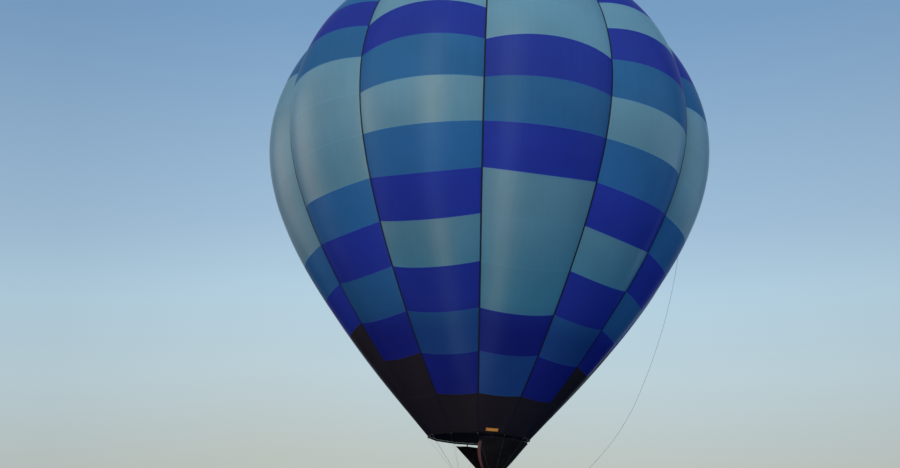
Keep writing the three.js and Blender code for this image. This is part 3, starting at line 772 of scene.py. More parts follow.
def clothLook(name, cloth):
    finish = clothFinish
    colour = cloth["colour"]
    paintedLowShade, paintedTopLight = ([c * share for c, share in zip(colour, cloth[k])] for k in ("paintedLowShade", "paintedTopLight"))
    look = Look(name, Roughness=finish["roughness"], Specular_Tint=(*cloth["tint"], 1))
    # matt where the cloth turns away, so that its edges don't shine
    turned = look.node("ShaderNodeLayerWeight", Blend=0.5).outputs["Facing"]
    gloss = look.ramp(turned, *cloth["mattFrom"], cloth["gloss"], cloth["gloss"] * finish["edgeGloss"])
    place = look.place()
    thread, _, _ = look.mapAxes("cloth")
    _, _, row = look.mapAxes("panel")
    edge = look.attribute("edge")

    # felled seams between panels, and dark hems along the tapes that are also painted shade of the valleys
    # between gores
    panelShare = look.math("FRACT", look.math("ADD", row, 0.5))
    offMiddle = look.math("ABSOLUTE", look.math("SUBTRACT", panelShare, 0.5))
    offSeam = look.times(offMiddle, finish["panelHeight"])
    seam = look.ramp(offSeam, finish["seamHalfWidth"], finish["seamHalfWidth"] * 1.5, 1, 0)
    hem = look.ramp(edge, finish["tapeHem"], finish["tapeHem"] * 1.4, 1, 0)

    # slow fading over the cloth, and streaks along the threads
    fade = look.ramp(look.noise(place, 0.35, 3), 0.3, 0.7, 0.93, 1.07)
    streak = look.ramp(look.noise(look.scaled(thread, (9, 0.5, 1)), 1, 3), 0.3, 0.7, 0.98, 1.02)
    shade = look.times(look.times(fade, streak), look.attribute("tone"))
    # painted light and shade by height: from the given rows upwards warmer on the aqua and darker on the blue
    # and royal, and painted shade just above the mouth
    dyeAndPaintedLight = look.mix(look.ramp(row, *cloth["paintedTopLightRows"]), colour, paintedTopLight)
    dyeAndPaintedLight = look.mix(look.ramp(row, *finish["paintedLowShadeRows"], 1, 0), dyeAndPaintedLight, paintedLowShade)
    plain = look.node("ShaderNodeVectorMath", operation="SCALE", Vector=dyeAndPaintedLight, Scale=shade).outputs[0]
    seamed = look.mix(look.times(seam, finish["seamShade"]), plain, tinted(colour, 1.35, 0.012))
    hemmed = look.mix(hem, seamed, finish["hemAndPaintedValleyShade"])

    # puckers along the tapes, a ridge at each seam, and the weave
    pull = look.noise(look.scaled(thread, (1.2, 1 / finish["puckerPitch"], 1)), 1, 2)
    pucker = look.times(pull, look.ramp(edge, 0, finish["puckerReach"], 1, 0))
    weave = look.noise(look.scaled(thread, (260, 260, 1)), 1, 1)
    height = look.bump(pucker, 0.012, 0.6, look.bump(seam, 0.002, 0.6, look.bump(weave, 0.0006, 0.25)))

    # painted glow standing in for daylight through the cloth, seen on the inside only, strongest high up
    glow = look.times(look.attribute("inside"), look.ramp(row, *finish["glowRows"], *finish["glow"]))
    return look.wear(
        Base_Color=hemmed, Normal=height, Emission_Color=hemmed, Emission_Strength=glow,
        Specular_IOR_Level=gloss,
    )


clothLooks = {name: clothLook(name + "Ripstop", cloth) for name, cloth in clothColours.items()}
lookOrder = list(clothColours)
diamondRows = (4, 10)


def panelColour(gore, row):
    # diamonds that spread from two rows of the front and back gores
    apart = min(gore, 12 - gore)
    apart = apart if apart <= 3 else 6 - apart
    lower, upper = (apart + abs(row - centre) for centre in diamondRows)
    if row == 0:
        return "black"
    if row < 4:
        return ("aqua", "aqua", "royal", "blue", "royal", "black", "black")[min(lower, 6)]
    return ("aqua", "aqua", "royal", "blue", "aqua")[min(lower, upper, 4)]


def crownLineDent(gore, row, across):
    # how far the cloth is pressed in under the crown line
    groove = crownLine["groove"]
    if gore != lineGore or abs(across) > groove["reach"] or row < groove["fromRow"]:
        return 0.0
    share = row % 1
    return groove["more"] * 4 * share * (1 - share) + groove["atSeam"]


def clothPiece(name, form, maps, edge, tones, slots):
    # a cloth of two like sides, the outer one first, with what its look reads
    piece = newPiece(name, form[0], form[1], [clothLooks[n] for n in lookOrder])
    piece.data.polygons.foreach_set("material_index", slots)
    storeMap(piece, "cloth", maps[0] * 2)
    storeMap(piece, "panel", maps[1] * 2)
    storeNumbers(piece, "edge", edge * 2)
    storeNumbers(piece, "inside", [0.0] * len(edge) + [1.0] * len(edge))
    storeNumbers(piece, "tone", tones, "FACE")
    return piece


def makeGore(gore):
    columns, perPanel, inset = (envelopeShape[k] for k in ("columns", "rowsPerPanel", "thickness"))
    azimuth = (gore + 0.5) * goreAngle
    rowCount = lastSeam * perPanel + 1
    outer, inner, clothMap, panelMap, edge = [], [], [], [], []
    arcLength, alongSoFar, before = [], 0.0, None
    for r in range(rowCount):
        row = min(r / perPanel, clothEnd)
        station = goreStation(row)
        halfArc = station["arc"] * station["spread"]
        limit = 1 - envelopeShape["tapeEdge"] / halfArc
        middle = gorePoint(station, azimuth, 0)
        alongSoFar += (middle - before).length if before is not None else 0.0
        before = middle
        arcLength.append((2 * halfArc * limit, alongSoFar))
        for c in range(columns + 1):
            across = limit * (2 * c / columns - 1)
            dent = crownLineDent(gore, row, across)
            outer.append(gorePoint(station, azimuth, across, dent))
            inner.append(gorePoint(station, azimuth, across, dent + inset))
            clothMap.append((across * halfArc, alongSoFar))
            panelMap.append(((across + 1) / 2, row))
            edge.append(halfArc * (limit - abs(across)))
    size = len(outer)
    width = columns + 1
    faces, slots, tones = [], [], []
    chance = random.Random(40 + gore)
    panelTone = [chance.uniform(*clothFinish["tones"]) for _ in range(lastSeam)]
    for r in range(rowCount - 1):
        panel = r // perPanel
        slots += [lookOrder.index(panelColour(gore, panel))] * (2 * columns + 2)
        tones += [panelTone[panel]] * (2 * columns) + [1, 1]
        for a in range(r * width, r * width + columns):
            b, d = a + 1, a + width
            faces.append((a, b, d + 1, d))
            faces.append((size + a, size + d, size + d + 1, size + b))
        a, d = r * width, (r + 1) * width
        faces.append((a, d, size + d, size + a))
        a, d = a + columns, d + columns
        faces.append((a, size + a, size + d, d))
    last = (rowCount - 1) * width
    for c in range(columns):
        faces.append((c, size + c, size + c + 1, c + 1))
        faces.append((last + c, last + c + 1, size + last + c + 1, size + last + c))
    # the cut edges at the mouth and at the crown both take the mouth's colour
    slots += [slots[0]] * (2 * columns)
    tones += [1] * (2 * columns)
    name = f"gore_{gore + 1:02d}"
    piece = clothPiece("cloth_" + name, (outer + inner, faces), (clothMap, panelMap), edge, tones, slots)
    # keeps the cloth's cut edges from rounding the light beside the tapes
    piece.data.set_sharp_from_angle(angle=radians(50))
    settle(piece, "airframe", "panel_cloth", name)
    area = sum((a[0] + b[0]) / 2 * (b[1] - a[1]) for a, b in zip(arcLength, arcLength[1:]))
    widest = max(a[0] for a in arcLength)
    return widest, alongSoFar, area


goreSizes = [makeGore(gore) for gore in gores]
print("gores: each", [round(v, 2) for v in goreSizes[0]])

# load tapes

tapeShape = {
    "halfWidth": 0.012, "rise": 0.004, "crease": 0.0008, "depth": 0.006, "steps": 10,
    # the crown opening's hoop, by its two edges within the gores' last strip
    "hoop": (0.7, 0.92), "hoopProud": 0.0035, "hoopThickness": 0.0025,
}


def webbingLook(name, colour):
    look = Look(name, Roughness=0.7, Specular_IOR_Level=0.2)
    _, across, along = look.mapAxes("surface")
    weave = look.times(look.wave(along, 0.006), look.wave(across, 0.004))
    return look.wear(
        Base_Color=look.mix(look.spots(40, 2, 0.3, 0.7), tinted(colour, 0.5), colour),
        Normal=look.bump(weave, 0.0008, 0.5),
    )


tapeLook = webbingLook("loadTapeWebbing", (0.006, 0.009, 0.019))


def makeTapes():
    points, faces, pairs = [], [], []
    half, rise, depth, steps = (tapeShape[k] for k in ("halfWidth", "rise", "depth", "steps"))
    section = (
        (rise, -half), (rise + tapeShape["crease"], 0), (rise, half), (-depth, half), (-depth, -half),
    )
    count = (lastSeam + 1) * steps + 1
    for seam in gores:
        azimuth = seam * goreAngle
        side = outward(azimuth + 90)
        base = len(points)
        along, before = 0.0, None
        for r in range(count):
            radius, height, normalR, normalZ = meridianAt(r / steps)
            for out, across in section:
                middle = pointAt(azimuth, radius + out * normalR, height + out * normalZ)
                points.append(middle + side * across)
            centre = points[-4]
            along += (centre - before).length if before is not None else 0.0
            before = centre
            pairs += [(across, along) for _, across in section]
        for low in range(base, base + (count - 1) * 5, 5):
            for j in range(5):
                k = (j + 1) % 5
                faces.append((low + j, low + k, low + 5 + k, low + 5 + j))
        top = base + (count - 1) * 5
        faces += [tuple(base + j for j in reversed(range(5))), tuple(top + j for j in range(5))]
    piece = newPiece("load_tapes", points, faces, [tapeLook], smooth=False)
    storeMap(piece, "surface", pairs)
    settle(piece, "airframe", "load_tape", "load_tape_cage")
    # hoop on the cloth around the crown opening, laid over the gores' last strip
    columns = envelopeShape["columns"]
    ends = (lastSeam - 1 / envelopeShape["rowsPerPanel"], clothEnd)
    rows = [[], []]
    for gore in gores:
        for j in range(columns):
            across = 2 * j / columns - 1
            edge = []
            for row in ends:
                inset = crownLineDent(gore, row, across) - tapeShape["hoopProud"]
                edge.append(gorePoint(goreStation(row), (gore + 0.5) * goreAngle, across, inset))
            for ring, share in zip(rows, tapeShape["hoop"]):
                ring.append(edge[0].lerp(edge[1], share))
    hoop = Form()
    hoop.sheet(rows, tapeShape["hoopThickness"], wrapAcross=True)
    hoop.piece("crown_hoop_tape", [tapeLook], slot="load_tape", sharp=60)


makeTapes()
print("load tapes made")

# surfaces of the rigging, burner and basket


def metalLook(name, colour, roughness, grain, tarnish=None):
    look = Look(name, Metallic=1.0)
    scratch = look.ramp(look.grain((90, 8, 30), 3, 2), 0.62, 0.72)
    shade = look.mix(look.spots(7, 4, 0.42, 0.72), colour, tarnish or tinted(colour, 0.72))
    return look.wear(
        Base_Color=look.mix(look.times(scratch, 0.5), shade, tinted(colour, 1.15, 0.02)),
        Roughness=look.spots(24, 4, 0.25, 0.75, roughness * 0.75, roughness * 1.4),
        Normal=look.bump(look.grain(grain, 4, 3), 0.0004, 0.3),
    )


# heights between which the steel turns straw-coloured and then blue
canTints = {"straw": (-12.95, -12.8), "blue": (-12.8, -12.7)}


def canLook():
    # brushed steel that takes a straw and blue tint towards the flame
    look = Look("canSteel", Metallic=1.0)
    _, _, height = look.node("ShaderNodeSeparateXYZ", Vector=look.place()).outputs
    uneven = look.math("MULTIPLY_ADD", look.noise(look.place(), 12, 3), 0.16, height)
    tempered = look.mix(look.ramp(uneven, *canTints["straw"]), (0.56, 0.55, 0.53), (0.5, 0.36, 0.2))
    tempered = look.mix(look.ramp(uneven, *canTints["blue"]), tempered, (0.16, 0.15, 0.24))
    return look.wear(
        Base_Color=look.mix(look.times(look.spots(9, 4, 0.45, 0.75), 0.45), tempered, (0.1, 0.09, 0.08)),
        Roughness=look.spots(20, 3, 0.3, 0.7, 0.22, 0.42),
        Normal=look.bump(look.grain((3, 3, 300), 3, 3), 0.0003, 0.3),
    )


def wireLook():
    look = Look("wireStrands", Metallic=0.7, Roughness=0.5)
    strand = look.strands(6, 0.009)
    bright = look.mix(look.spots(6, 3, 0.4, 0.7), (0.15, 0.155, 0.165), (0.09, 0.09, 0.095))
    return look.wear(
        Base_Color=look.mix(look.ramp(strand, 0.0, 0.7), (0.05, 0.05, 0.055), bright),
        Normal=look.bump(strand, 0.0006, 0.9),
    )


def leatherLook(name, colour, cells=260):
    look = Look(name, Specular_IOR_Level=0.35)
    place = look.place()
    grain = look.node("ShaderNodeTexVoronoi", Vector=place, Scale=cells, feature="DISTANCE_TO_EDGE")
    pebble = look.ramp(grain.outputs["Distance"], 0.0, 0.22)
    crease = look.ramp(look.noise(place, 26, 5, 0.65), 0.42, 0.62)
    scuff = look.spots(5, 4, 0.5, 0.75)
    dark = tinted(colour, 0.55)
    shade = look.mix(crease, dark, colour)
    shade = look.mix(look.times(scuff, 0.45), shade, tinted(colour, 1.7, 0.03))
    return look.wear(
        Base_Color=look.mix(look.math("MULTIPLY_ADD", pebble, -0.35, 0.35), shade, dark),
        Roughness=look.ramp(scuff, 0, 1, 0.48, 0.68),
        Normal=look.bump(pebble, 0.0008, 0.5, look.bump(crease, 0.002, 0.4)),
    )


def darkClothLook(name, colour, gloss=0.25):
    look = Look(name, Roughness=0.58, Specular_IOR_Level=gloss)
    uv, across, along = look.mapAxes("surface")
    threads = look.times(look.wave(across, 0.0022), look.wave(along, 0.0022))
    fade = look.spots(1.6, 4, 0.35, 0.7)
    creases = look.noise(look.scaled(uv, (5, 1.4, 1)), 1.6, 4, 0.6)
    return look.wear(
        Base_Color=look.mix(fade, colour, tinted(colour, 1.5, 0.0015)),
        Normal=look.bump(creases, 0.02, 0.35, look.bump(threads, 0.0004, 0.4)),
    )


def wickerLook():
    look = Look("willowCane", Specular_IOR_Level=0.45)
    canes = look.grain((1.4, 1.4, 61), 1, 2)
    fibre = look.grain((38, 38, 420), 1, 3)
    knots = look.spots(16, 3, 0.62, 0.74)
    shade = look.mix(look.ramp(canes, 0.3, 0.7), (0.2, 0.095, 0.032), (0.47, 0.28, 0.115))
    shade = look.mix(look.times(look.ramp(fibre, 0.35, 0.7), 0.35), shade, (0.13, 0.058, 0.02))
    return look.wear(
        Base_Color=look.mix(look.times(knots, 0.6), shade, (0.1, 0.045, 0.018)),
        Roughness=look.ramp(fibre, 0.3, 0.7, 0.34, 0.52),
        Normal=look.bump(fibre, 0.0012, 0.5),
    )


def woodLook(name, light, dark, grain):
    look = Look(name, Specular_IOR_Level=0.4)
    rings = look.grain(grain, 1, 4, 0.6)
    pores = look.grain([g * 7 for g in grain], 1, 2)
    dirt = look.spots(5, 4, 0.5, 0.78)
    shade = look.mix(look.ramp(rings, 0.32, 0.68), light, dark)
    shade = look.mix(look.times(look.ramp(pores, 0.55, 0.7), 0.5), shade, tinted(dark, 0.45))
    return look.wear(
        Base_Color=look.mix(look.times(dirt, 0.5), shade, tinted(dark, 0.35)),
        Roughness=look.ramp(pores, 0.3, 0.7, 0.42, 0.62),
        Normal=look.bump(pores, 0.0008, 0.5),
    )


def plasticLook(name, colour, roughness=0.42):
    look = Look(name)
    grain = look.noise(look.place(), 700, 2)
    scuff = look.spots(13, 4, 0.5, 0.75)
    return look.wear(
        Base_Color=look.mix(look.times(scuff, 0.4), colour, tinted(colour, 1.2, 0.05)),
        Roughness=look.ramp(scuff, 0, 1, roughness, roughness * 1.35),
        Normal=look.bump(grain, 0.0003, 0.3),
    )


def threadLook(name, colour):
    look = Look(name, Roughness=0.8)
    fibre = look.noise(look.place(), 1500, 2)
    return look.wear(
        Base_Color=look.mix(look.ramp(fibre, 0.3, 0.7), tinted(colour, 0.6), colour),
        Normal=look.bump(fibre, 0.0002, 0.5),
    )


alloyLook = metalLook("satinAlloy", (0.6, 0.61, 0.62), 0.36, (160, 160, 10))
boltLook = metalLook("zincBolts", (0.52, 0.52, 0.5), 0.3, (60, 60, 60), (0.34, 0.33, 0.29))
brassLook = metalLook("wornBrass", (0.62, 0.43, 0.17), 0.3, (50, 50, 50), (0.3, 0.19, 0.07))
steelLook = metalLook("bentSteel", (0.54, 0.52, 0.49), 0.26, (30, 30, 90), (0.32, 0.25, 0.18))
burnerLook = canLook()
flyingWireLook = wireLook()
rimLeather = leatherLook("saddleLeather", (0.115, 0.045, 0.02))
hideLeather = leatherLook("rawHide", (0.33, 0.2, 0.095), 150)
sleeveLeather = leatherLook("sleeveLeather", (0.08, 0.034, 0.018))
blackCloth = darkClothLook("mouthCloth", (0.008, 0.0076, 0.009), 0.012)
# the mouth band takes the black cloth painted darker, as painted shade under the envelope
paintedShadeBandCloth = darkClothLook("mouthBandPaintedShade", (0.003, 0.0028, 0.0036), 0.012)
# the scoop's edge hems are real; their reddish colour is a painted highlight
paintedHighlightHemCloth = darkClothLook("scoopHemPaintedHighlight", (0.088, 0.03, 0.033), 0.35)
caneLook = wickerLook()
plyLook = woodLook("birchPly", (0.5, 0.33, 0.17), (0.33, 0.19, 0.085), (3, 34, 180))
runnerWood = woodLook("ashRunner", (0.42, 0.27, 0.135), (0.23, 0.125, 0.055), (42, 3, 42))
leverLook = plasticLook("redGrip", (0.4, 0.012, 0.008))
nylonLook = plasticLook("nylonRod", (0.62, 0.6, 0.53), 0.38)
stitchLook = threadLook("waxedThread", (0.52, 0.42, 0.27))
darkStitchLook = threadLook("darkThread", (0.012, 0.012, 0.015))
handleRopeLook = ropeLook("handleRope", (0.5, 0.45, 0.34), 7, 0.02)
dialLook = plasticLook("blankDial", (0.72, 0.72, 0.68), 0.25)

# parachute valve

parachuteShape = {
    "columns": 12, "rows": 30, "billow": 0.045, "drop": 0.0106, "thickness": 0.003, "startRow": 15.8,
    "middleRadius": 0.03, "lowerPanelRows": 9, "hemRadius": 0.006,
    # the billow is kept off the crown line over these distances from the gore's middle
    "lineGap": 0.03, "lineEase": 0.25,
}


def makeParachute():
    # panels between radial seams, swollen upwards, from the rim to the middle
    shape = parachuteShape
    columns = shape["columns"]
    perTurn = envelopeShape["gores"] * columns
    profile = []
    startRow, drop = shape["startRow"], shape["drop"]
    for i in range(shape["rows"] + 1):
        row = startRow + (lastSeam + 1 - startRow) * i / shape["rows"]
        radius, height, normalR, normalZ = meridianAt(row)
        profile.append((radius - drop * normalR, height - drop * normalZ, row))
    profile.append((shape["middleRadius"], profile[-1][1] + 0.0005, lastSeam + 0.99))
    rim = profile[0][0]
    rows, clothMap, panelMap, edge = [], [], [], []
    for radius, height, row in profile:
        ring = []
        # flat under the gores' edge, swollen within the opening
        inward = min(1, max(0, row - lastSeam))
        swell = shape["billow"] * sin(pi * inward) ** 0.7
        for j in range(perTurn):
            share = j / columns % 1
            azimuth = j * 360 / perTurn
            chord = cos(halfGore) / cos(radians((share - 0.5) * goreAngle))
            lift = swell * sin(pi * share) * radius / rim * 1.4
            if j // columns == lineGore:
                away = abs(share - 0.5) * radius * radians(goreAngle)
                lift *= min(1, max(0, (away - shape["lineGap"]) / shape["lineEase"])) ** 2
            ring.append(pointAt(azimuth, radius * chord, height + lift))
            clothMap.append((radius * radians(azimuth % goreAngle - goreAngle / 2), radius))
            panelMap.append((share, row))
            edge.append(radius * radians(goreAngle) * (0.5 - abs(share - 0.5)) + 0.001)
        rows.append(ring)
    form = Form()
    form.sheet(rows, shape["thickness"], wrapAcross=True)
    size = len(rows) * perTurn
    top = size - perTurn
    # the two middles close the hole, so the strip between the two sides round it goes
    middle = {*range(top, size), *range(size + top, 2 * size)}
    faces = [face for face in form.faces if not middle.issuperset(face)]
    faces += [[top + j for j in range(perTurn)], [size + top + j for j in reversed(range(perTurn))]]
    slots = []
    for face in faces:
        place = face[0] % size
        panel = lastSeam - 1 if place // perTurn < shape["lowerPanelRows"] else lastSeam
        slots.append(lookOrder.index(panelColour(place % perTurn // columns, panel)))
    tones = [1.0] * len(faces)
    piece = clothPiece("parachute_cloth", (form.points, faces), (clothMap, panelMap), edge, tones, slots)
    settle(piece, "parachute", "panel_cloth", "parachute_valve")
    declareSheet(rows, wrapAcross=True)
    hem = Form()
    hem.tube(rows[0], shape["hemRadius"], 6, closed=True)
    hem.piece("parachute_hem", [tapeLook], "parachute", "load_tape")


makeParachute()

# crown ring and the tapes' loops round it

crownShape = {
    "inner": 0.08, "outer": 0.125, "ease": 0.005, "loopWidth": 0.018, "loopThickness": 0.0016,
    # a loop's way from the tape over the ring and down its bore: the edge and height that each point
    # is taken from, and how far off them it lies
    "loop": (
        ("outer", "low", 0.07, -0.0035), ("outer", "low", 0.012, 0.003), ("outer", "high", 0.002, -0.002),
        ("outer", "high", -0.008, 0.0012), ("inner", "high", 0.008, 0.0012),
        ("inner", "high", -0.0022, -0.003), ("inner", "low", -0.0022, 0.003),
        ("inner", "low", 0.006, -0.0022),
    ),
}


def makeCrownRing():
    low, high = (corner.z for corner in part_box("crown_ring"))
    inner, outer, ease = crownShape["inner"], crownShape["outer"], crownShape["ease"]
    profile = []
    for r, z, start in ((inner, low, 180), (outer, low, 270), (outer, high, 0), (inner, high, 90)):
        centreR = r + ease if r == inner else r - ease
        centreZ = z + ease if z == low else z - ease
        for j in range(4):
            angle = radians(start + 30 * j)
            profile.append((centreR + ease * cos(angle), centreZ + ease * sin(angle)))
    form = Form()
    form.lathe(profile, sides=96, closed=True)
    form.piece("crown_ring_forging", [alloyLook], slot="alloy", replaced=["crown_ring"])
    loops = Form()
    half = crownShape["loopWidth"] / 2
    levels = {"low": low, "high": high}
    for seam in gores:
        out, side = outward(seam * goreAngle), outward(seam * goreAngle + 90)
        rows = []
        for reach, level, outwards, above in crownShape["loop"]:
            middle = out * (crownShape[reach] + outwards) + upward(levels[level] + above)
            rows.append([middle + side * half, middle - side * half])
        loops.sheet(rows, crownShape["loopThickness"])
    loops.piece("crown_tape_loops", [tapeLook], slot="load_tape", sharp=60)


makeCrownRing()
print("crown made")

# mouth band, its patch and the scoop

mouthShape = {
    "band": 1.847, "bulge": 0.012, "thickness": 0.004, "edge": 0.006, "steps": 180,
    # heights of the two rows, and a stitch's spacing, radius and length
    "stitchRows": (0.008, 0.052), "stitch": (0.016, 0.0016, 0.01),
    "patch": {
        "height": 0.166, "halfWidth": 0.235, "halfHeight": 0.115, "border": 0.02, "steps": 12,
        "rowPerMetre": 1 / 1.524, "thickness": 0.0011,
    },
}
scoopShape = {
    "lastAzimuth": 210, "topRadius": 1.736, "topHeight": -11.503,
    "footX": 0.5, "footHalfY": 0.5, "footHeight": -12.99,
    "columns": 112, "rows": 40, "thickness": 0.003,
    "scallop": 0.022, "belly": 0.02, "ripple": 0.006, "edgeSway": 0.2,
    "hemColumns": 2, "darkRows": 4, "hemProud": 0.0026, "hemThickness": 0.0022,
    "topHems": (0.004, 0.985), "topHemDepth": 0.014, "topHemProud": 0.0024, "topHemThickness": 0.0018,
    "tabs": (15, 45, 75, 105, 135, 165, 195), "tabWidth": 0.04, "tabProud": 0.004, "tabThickness": 0.0025,
}


def bandRadius(azimuth):
    share = azimuth / goreAngle % 1
    chord = cos(halfGore) / cos(radians((share - 0.5) * goreAngle))
    return mouthShape["band"] * chord + mouthShape["bulge"] * sin(pi * share) ** 2 * 0.5


def makeMouthBand():
    low, high = (corner.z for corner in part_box("mouth_band"))
    turns = [a * 360 / mouthShape["steps"] for a in range(mouthShape["steps"])]
    edge = mouthShape["edge"]
    rows = [
        [pointAt(turn, bandRadius(turn), z) for turn in turns]
        for z in (low, low + edge, (low + high) / 2, high - edge, high)
    ]
    form = Form()
    form.sheet(rows, mouthShape["thickness"], wrapAcross=True)
    band = form.piece(
        "mouth_band_cloth", [paintedShadeBandCloth], slot="black_cloth", replaced=["mouth_band"], sharp=60,
    )
    declareSheet(rows, wrapAcross=True)
    paths, lay = [], []
    for lift in mouthShape["stitchRows"]:
        ring = [pointAt(turn, bandRadius(turn) + 0.0005, low + lift) for turn in turns]
        lay += [outward(turn + 90) for turn in turns]
        paths.append([*ring, ring[0]])
    addStuds(
        "mouth_band_stitches", darkStitchLook, mouthShape["stitch"], paths, lay, slot="black_cloth",
    )


def makePatch():
    # a blank patch with a dark border on the front gore, right of the centre seam
    patch = mouthShape["patch"]
    spread = [2 * i / patch["steps"] - 1 for i in range(patch["steps"] + 1)]
    form = Form()
    for proud, shrink, slot in ((0.0012, 0.0, 1), (0.0026, patch["border"], 0)):
        rows = []
        halfWidth, halfHeight = patch["halfWidth"] - shrink, patch["halfHeight"] - shrink
        for rise in spread:
            station = goreStation((patch["height"] + halfHeight * rise) * patch["rowPerMetre"])
            halfArc = station["arc"] * station["spread"]
            rows.append([gorePoint(station, goreAngle / 2, halfWidth * x / halfArc, -proud) for x in spread])
        form.sheet(rows, patch["thickness"], slot=slot)
    border = darkClothLook("patchBorder", (0.01, 0.008, 0.006))
    blank = darkClothLook("patchOrange", (0.62, 0.27, 0.045), 0.3)
    piece = form.piece("mouth_patch", [blank, border], slot="panel_cloth")


def scoopPoint(share, rise, out=0.0):
    # share runs round the scoop, rise from its foot to its top edge
    shape = scoopShape
    azimuth = share * shape["lastAzimuth"]
    between = sin(pi * (azimuth - 15) / 30) ** 2
    top = pointAt(azimuth, shape["topRadius"], shape["topHeight"] - shape["scallop"] * between)
    reach = shape["footHalfY"]
    foot = Vector((shape["footX"], reach * (2 * share - 1), shape["footHeight"]))
    point = foot.lerp(top, rise)
    around = Vector((point.x, point.y, 0)).normalized()
    belly = shape["belly"] * sin(pi * rise) * sin(pi * share)
    ripple = shape["ripple"] * sin(2 * pi * share * 19 + 2.2 * sin(5 * rise))
    sway = sin(pi * min(1, rise * 1.15)) * sin(pi * share) ** 0.5
    billow = 0.03 * between * rise**2
    # the free front edge hangs in a slack curve to the left
    slack = shape["edgeSway"] * max(0, 1 - share * 5) ** 2
    point.x -= slack * (sin(pi * rise**0.95) - 0.55 * rise**8)
    return point + around * (out - 0.004 + belly + billow + ripple * sway)


def scoopRows(shares, rises, out=0.0):
    return [[scoopPoint(share, rise, out) for share in shares] for rise in rises]


def makeScoop():
    shape = scoopShape
    columns, rowCount, wide = (shape[k] for k in ("columns", "rows", "hemColumns"))
    shares = [j / columns for j in range(columns + 1)]
    rises = [i / rowCount for i in range(rowCount + 1)]
    rows = scoopRows(shares, rises)
    form = Form()
    form.sheet(rows, shape["thickness"])
    cloth = form.piece("scoop_cloth", [blackCloth], slot="black_cloth", replaced=["scoop"], sharp=60)
    declareSheet(rows)
    hems = Form()
    dark = rowCount - shape["darkRows"]
    # the edge hems take the reddish painted highlight above their lowest rows, which stay black
    for strip in (shares[:wide + 1], shares[-wide - 1:]):
        edge = scoopRows(strip, rises, shape["hemProud"])
        hems.sheet(edge[:dark + 1], shape["hemThickness"])
        hems.sheet(edge[dark:], shape["hemThickness"], slot=1)
    hems.piece("scoop_edge_hems", [paintedHighlightHemCloth, blackCloth], slot="black_cloth", sharp=60)
    topHem = Form()
    for rise in shape["topHems"]:
        strip = scoopRows(shares, (rise, rise + shape["topHemDepth"]), shape["topHemProud"])
        topHem.sheet(strip, shape["topHemThickness"])
    topHem.piece("scoop_top_hem", [tapeLook], slot="black_cloth", sharp=60)
    tabs = Form()
    half = shape["tabWidth"] / 2
    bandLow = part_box("mouth_band")[0].z
    for azimuth in shape["tabs"]:
        side = outward(azimuth + 90)
        share = azimuth / shape["lastAzimuth"]
        mouth = outward(azimuth) * (bandRadius(azimuth) - 0.006)
        route = [
            scoopPoint(share, 0.955, shape["tabProud"]), scoopPoint(share, 1.0, shape["tabProud"]),
            mouth + upward(bandLow - 0.004), mouth + upward(bandLow + 0.035),
        ]
        tabs.sheet([[p - side * half, p + side * half] for p in route], shape["tabThickness"])
    tabs.piece("scoop_tabs", [tapeLook], slot="black_cloth", sharp=60)


makeMouthBand()
makePatch()
makeScoop()
print("mouth and scoop made")

# flying wires and karabiners

frameCorners = ((1, -1), (1, 1), (-1, 1), (-1, -1))
wireShape = {
    "radius": 0.0022, "eye": 0.015, "eyeTube": 0.004, "ferrule": 0.008, "ferruleLength": 0.034,
    "collar": 0.0085, "collarFrom": 0.004, "collarTo": 0.05, "bandMiddle": 1.844, "steps": 24,
}
karabinerShape = {"bar": 0.006, "corner": 0.014, "nut": 0.0088, "nutLength": 0.032, "ribs": 10}


def makeWires():
    wire = wireShape
    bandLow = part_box("mouth_band")[0].z
    ferrule, collar = wire["ferrule"], wire["collar"]
    length = wire["collarTo"] - wire["collarFrom"]
    ferruleProfile = (
        (0.0035, 0), (0.0055, 0.003), (ferrule - 0.001, 0.006), (ferrule, 0.01), (ferrule, 0.03),
        (0.0066, wire["ferruleLength"]),
    )
    collarProfile = (
        (collar * 0.8, 0), (collar, 0.004), (collar, length - 0.006), (collar * 0.75, length),
    )
    for i in range(1, 5):
        low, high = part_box(f"karabiner_{i}")
        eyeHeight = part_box(f"flying_wires_{i}")[0].z + wire["eye"] + wire["eyeTube"]
        eye = Vector(((low.x + high.x) / 2, (low.y + high.y) / 2, eyeHeight))
        form = Form()
        ring = [eye + Vector((cos(a), 0, sin(a))) * wire["eye"] for a in circleAngles(wire["steps"])]
        form.tube(ring, wire["eyeTube"], 10, closed=True)
        start = eye + upward(wire["eye"])
        mean = Vector()
        for seam in range(3 * i - 3, 3 * i):
            top = pointAt(seam * goreAngle, wire["bandMiddle"], bandLow - 0.0006)
            along = (top - start).normalized()
            mean += along
            form.tube([start.lerp(top, k / 4) for k in range(5)], wire["radius"], 8)
            form.lathe(ferruleProfile, top - along * wire["ferruleLength"], 14, 1, along)
        mean.normalize()
        form.lathe(collarProfile, start + mean * wire["collarFrom"], 16, 1, mean)
        form.piece(
            f"wire_ropes_{i}", [flyingWireLook, boltLook], slot="steel_wire",
            replaced=[f"flying_wires_{i}"],
        )


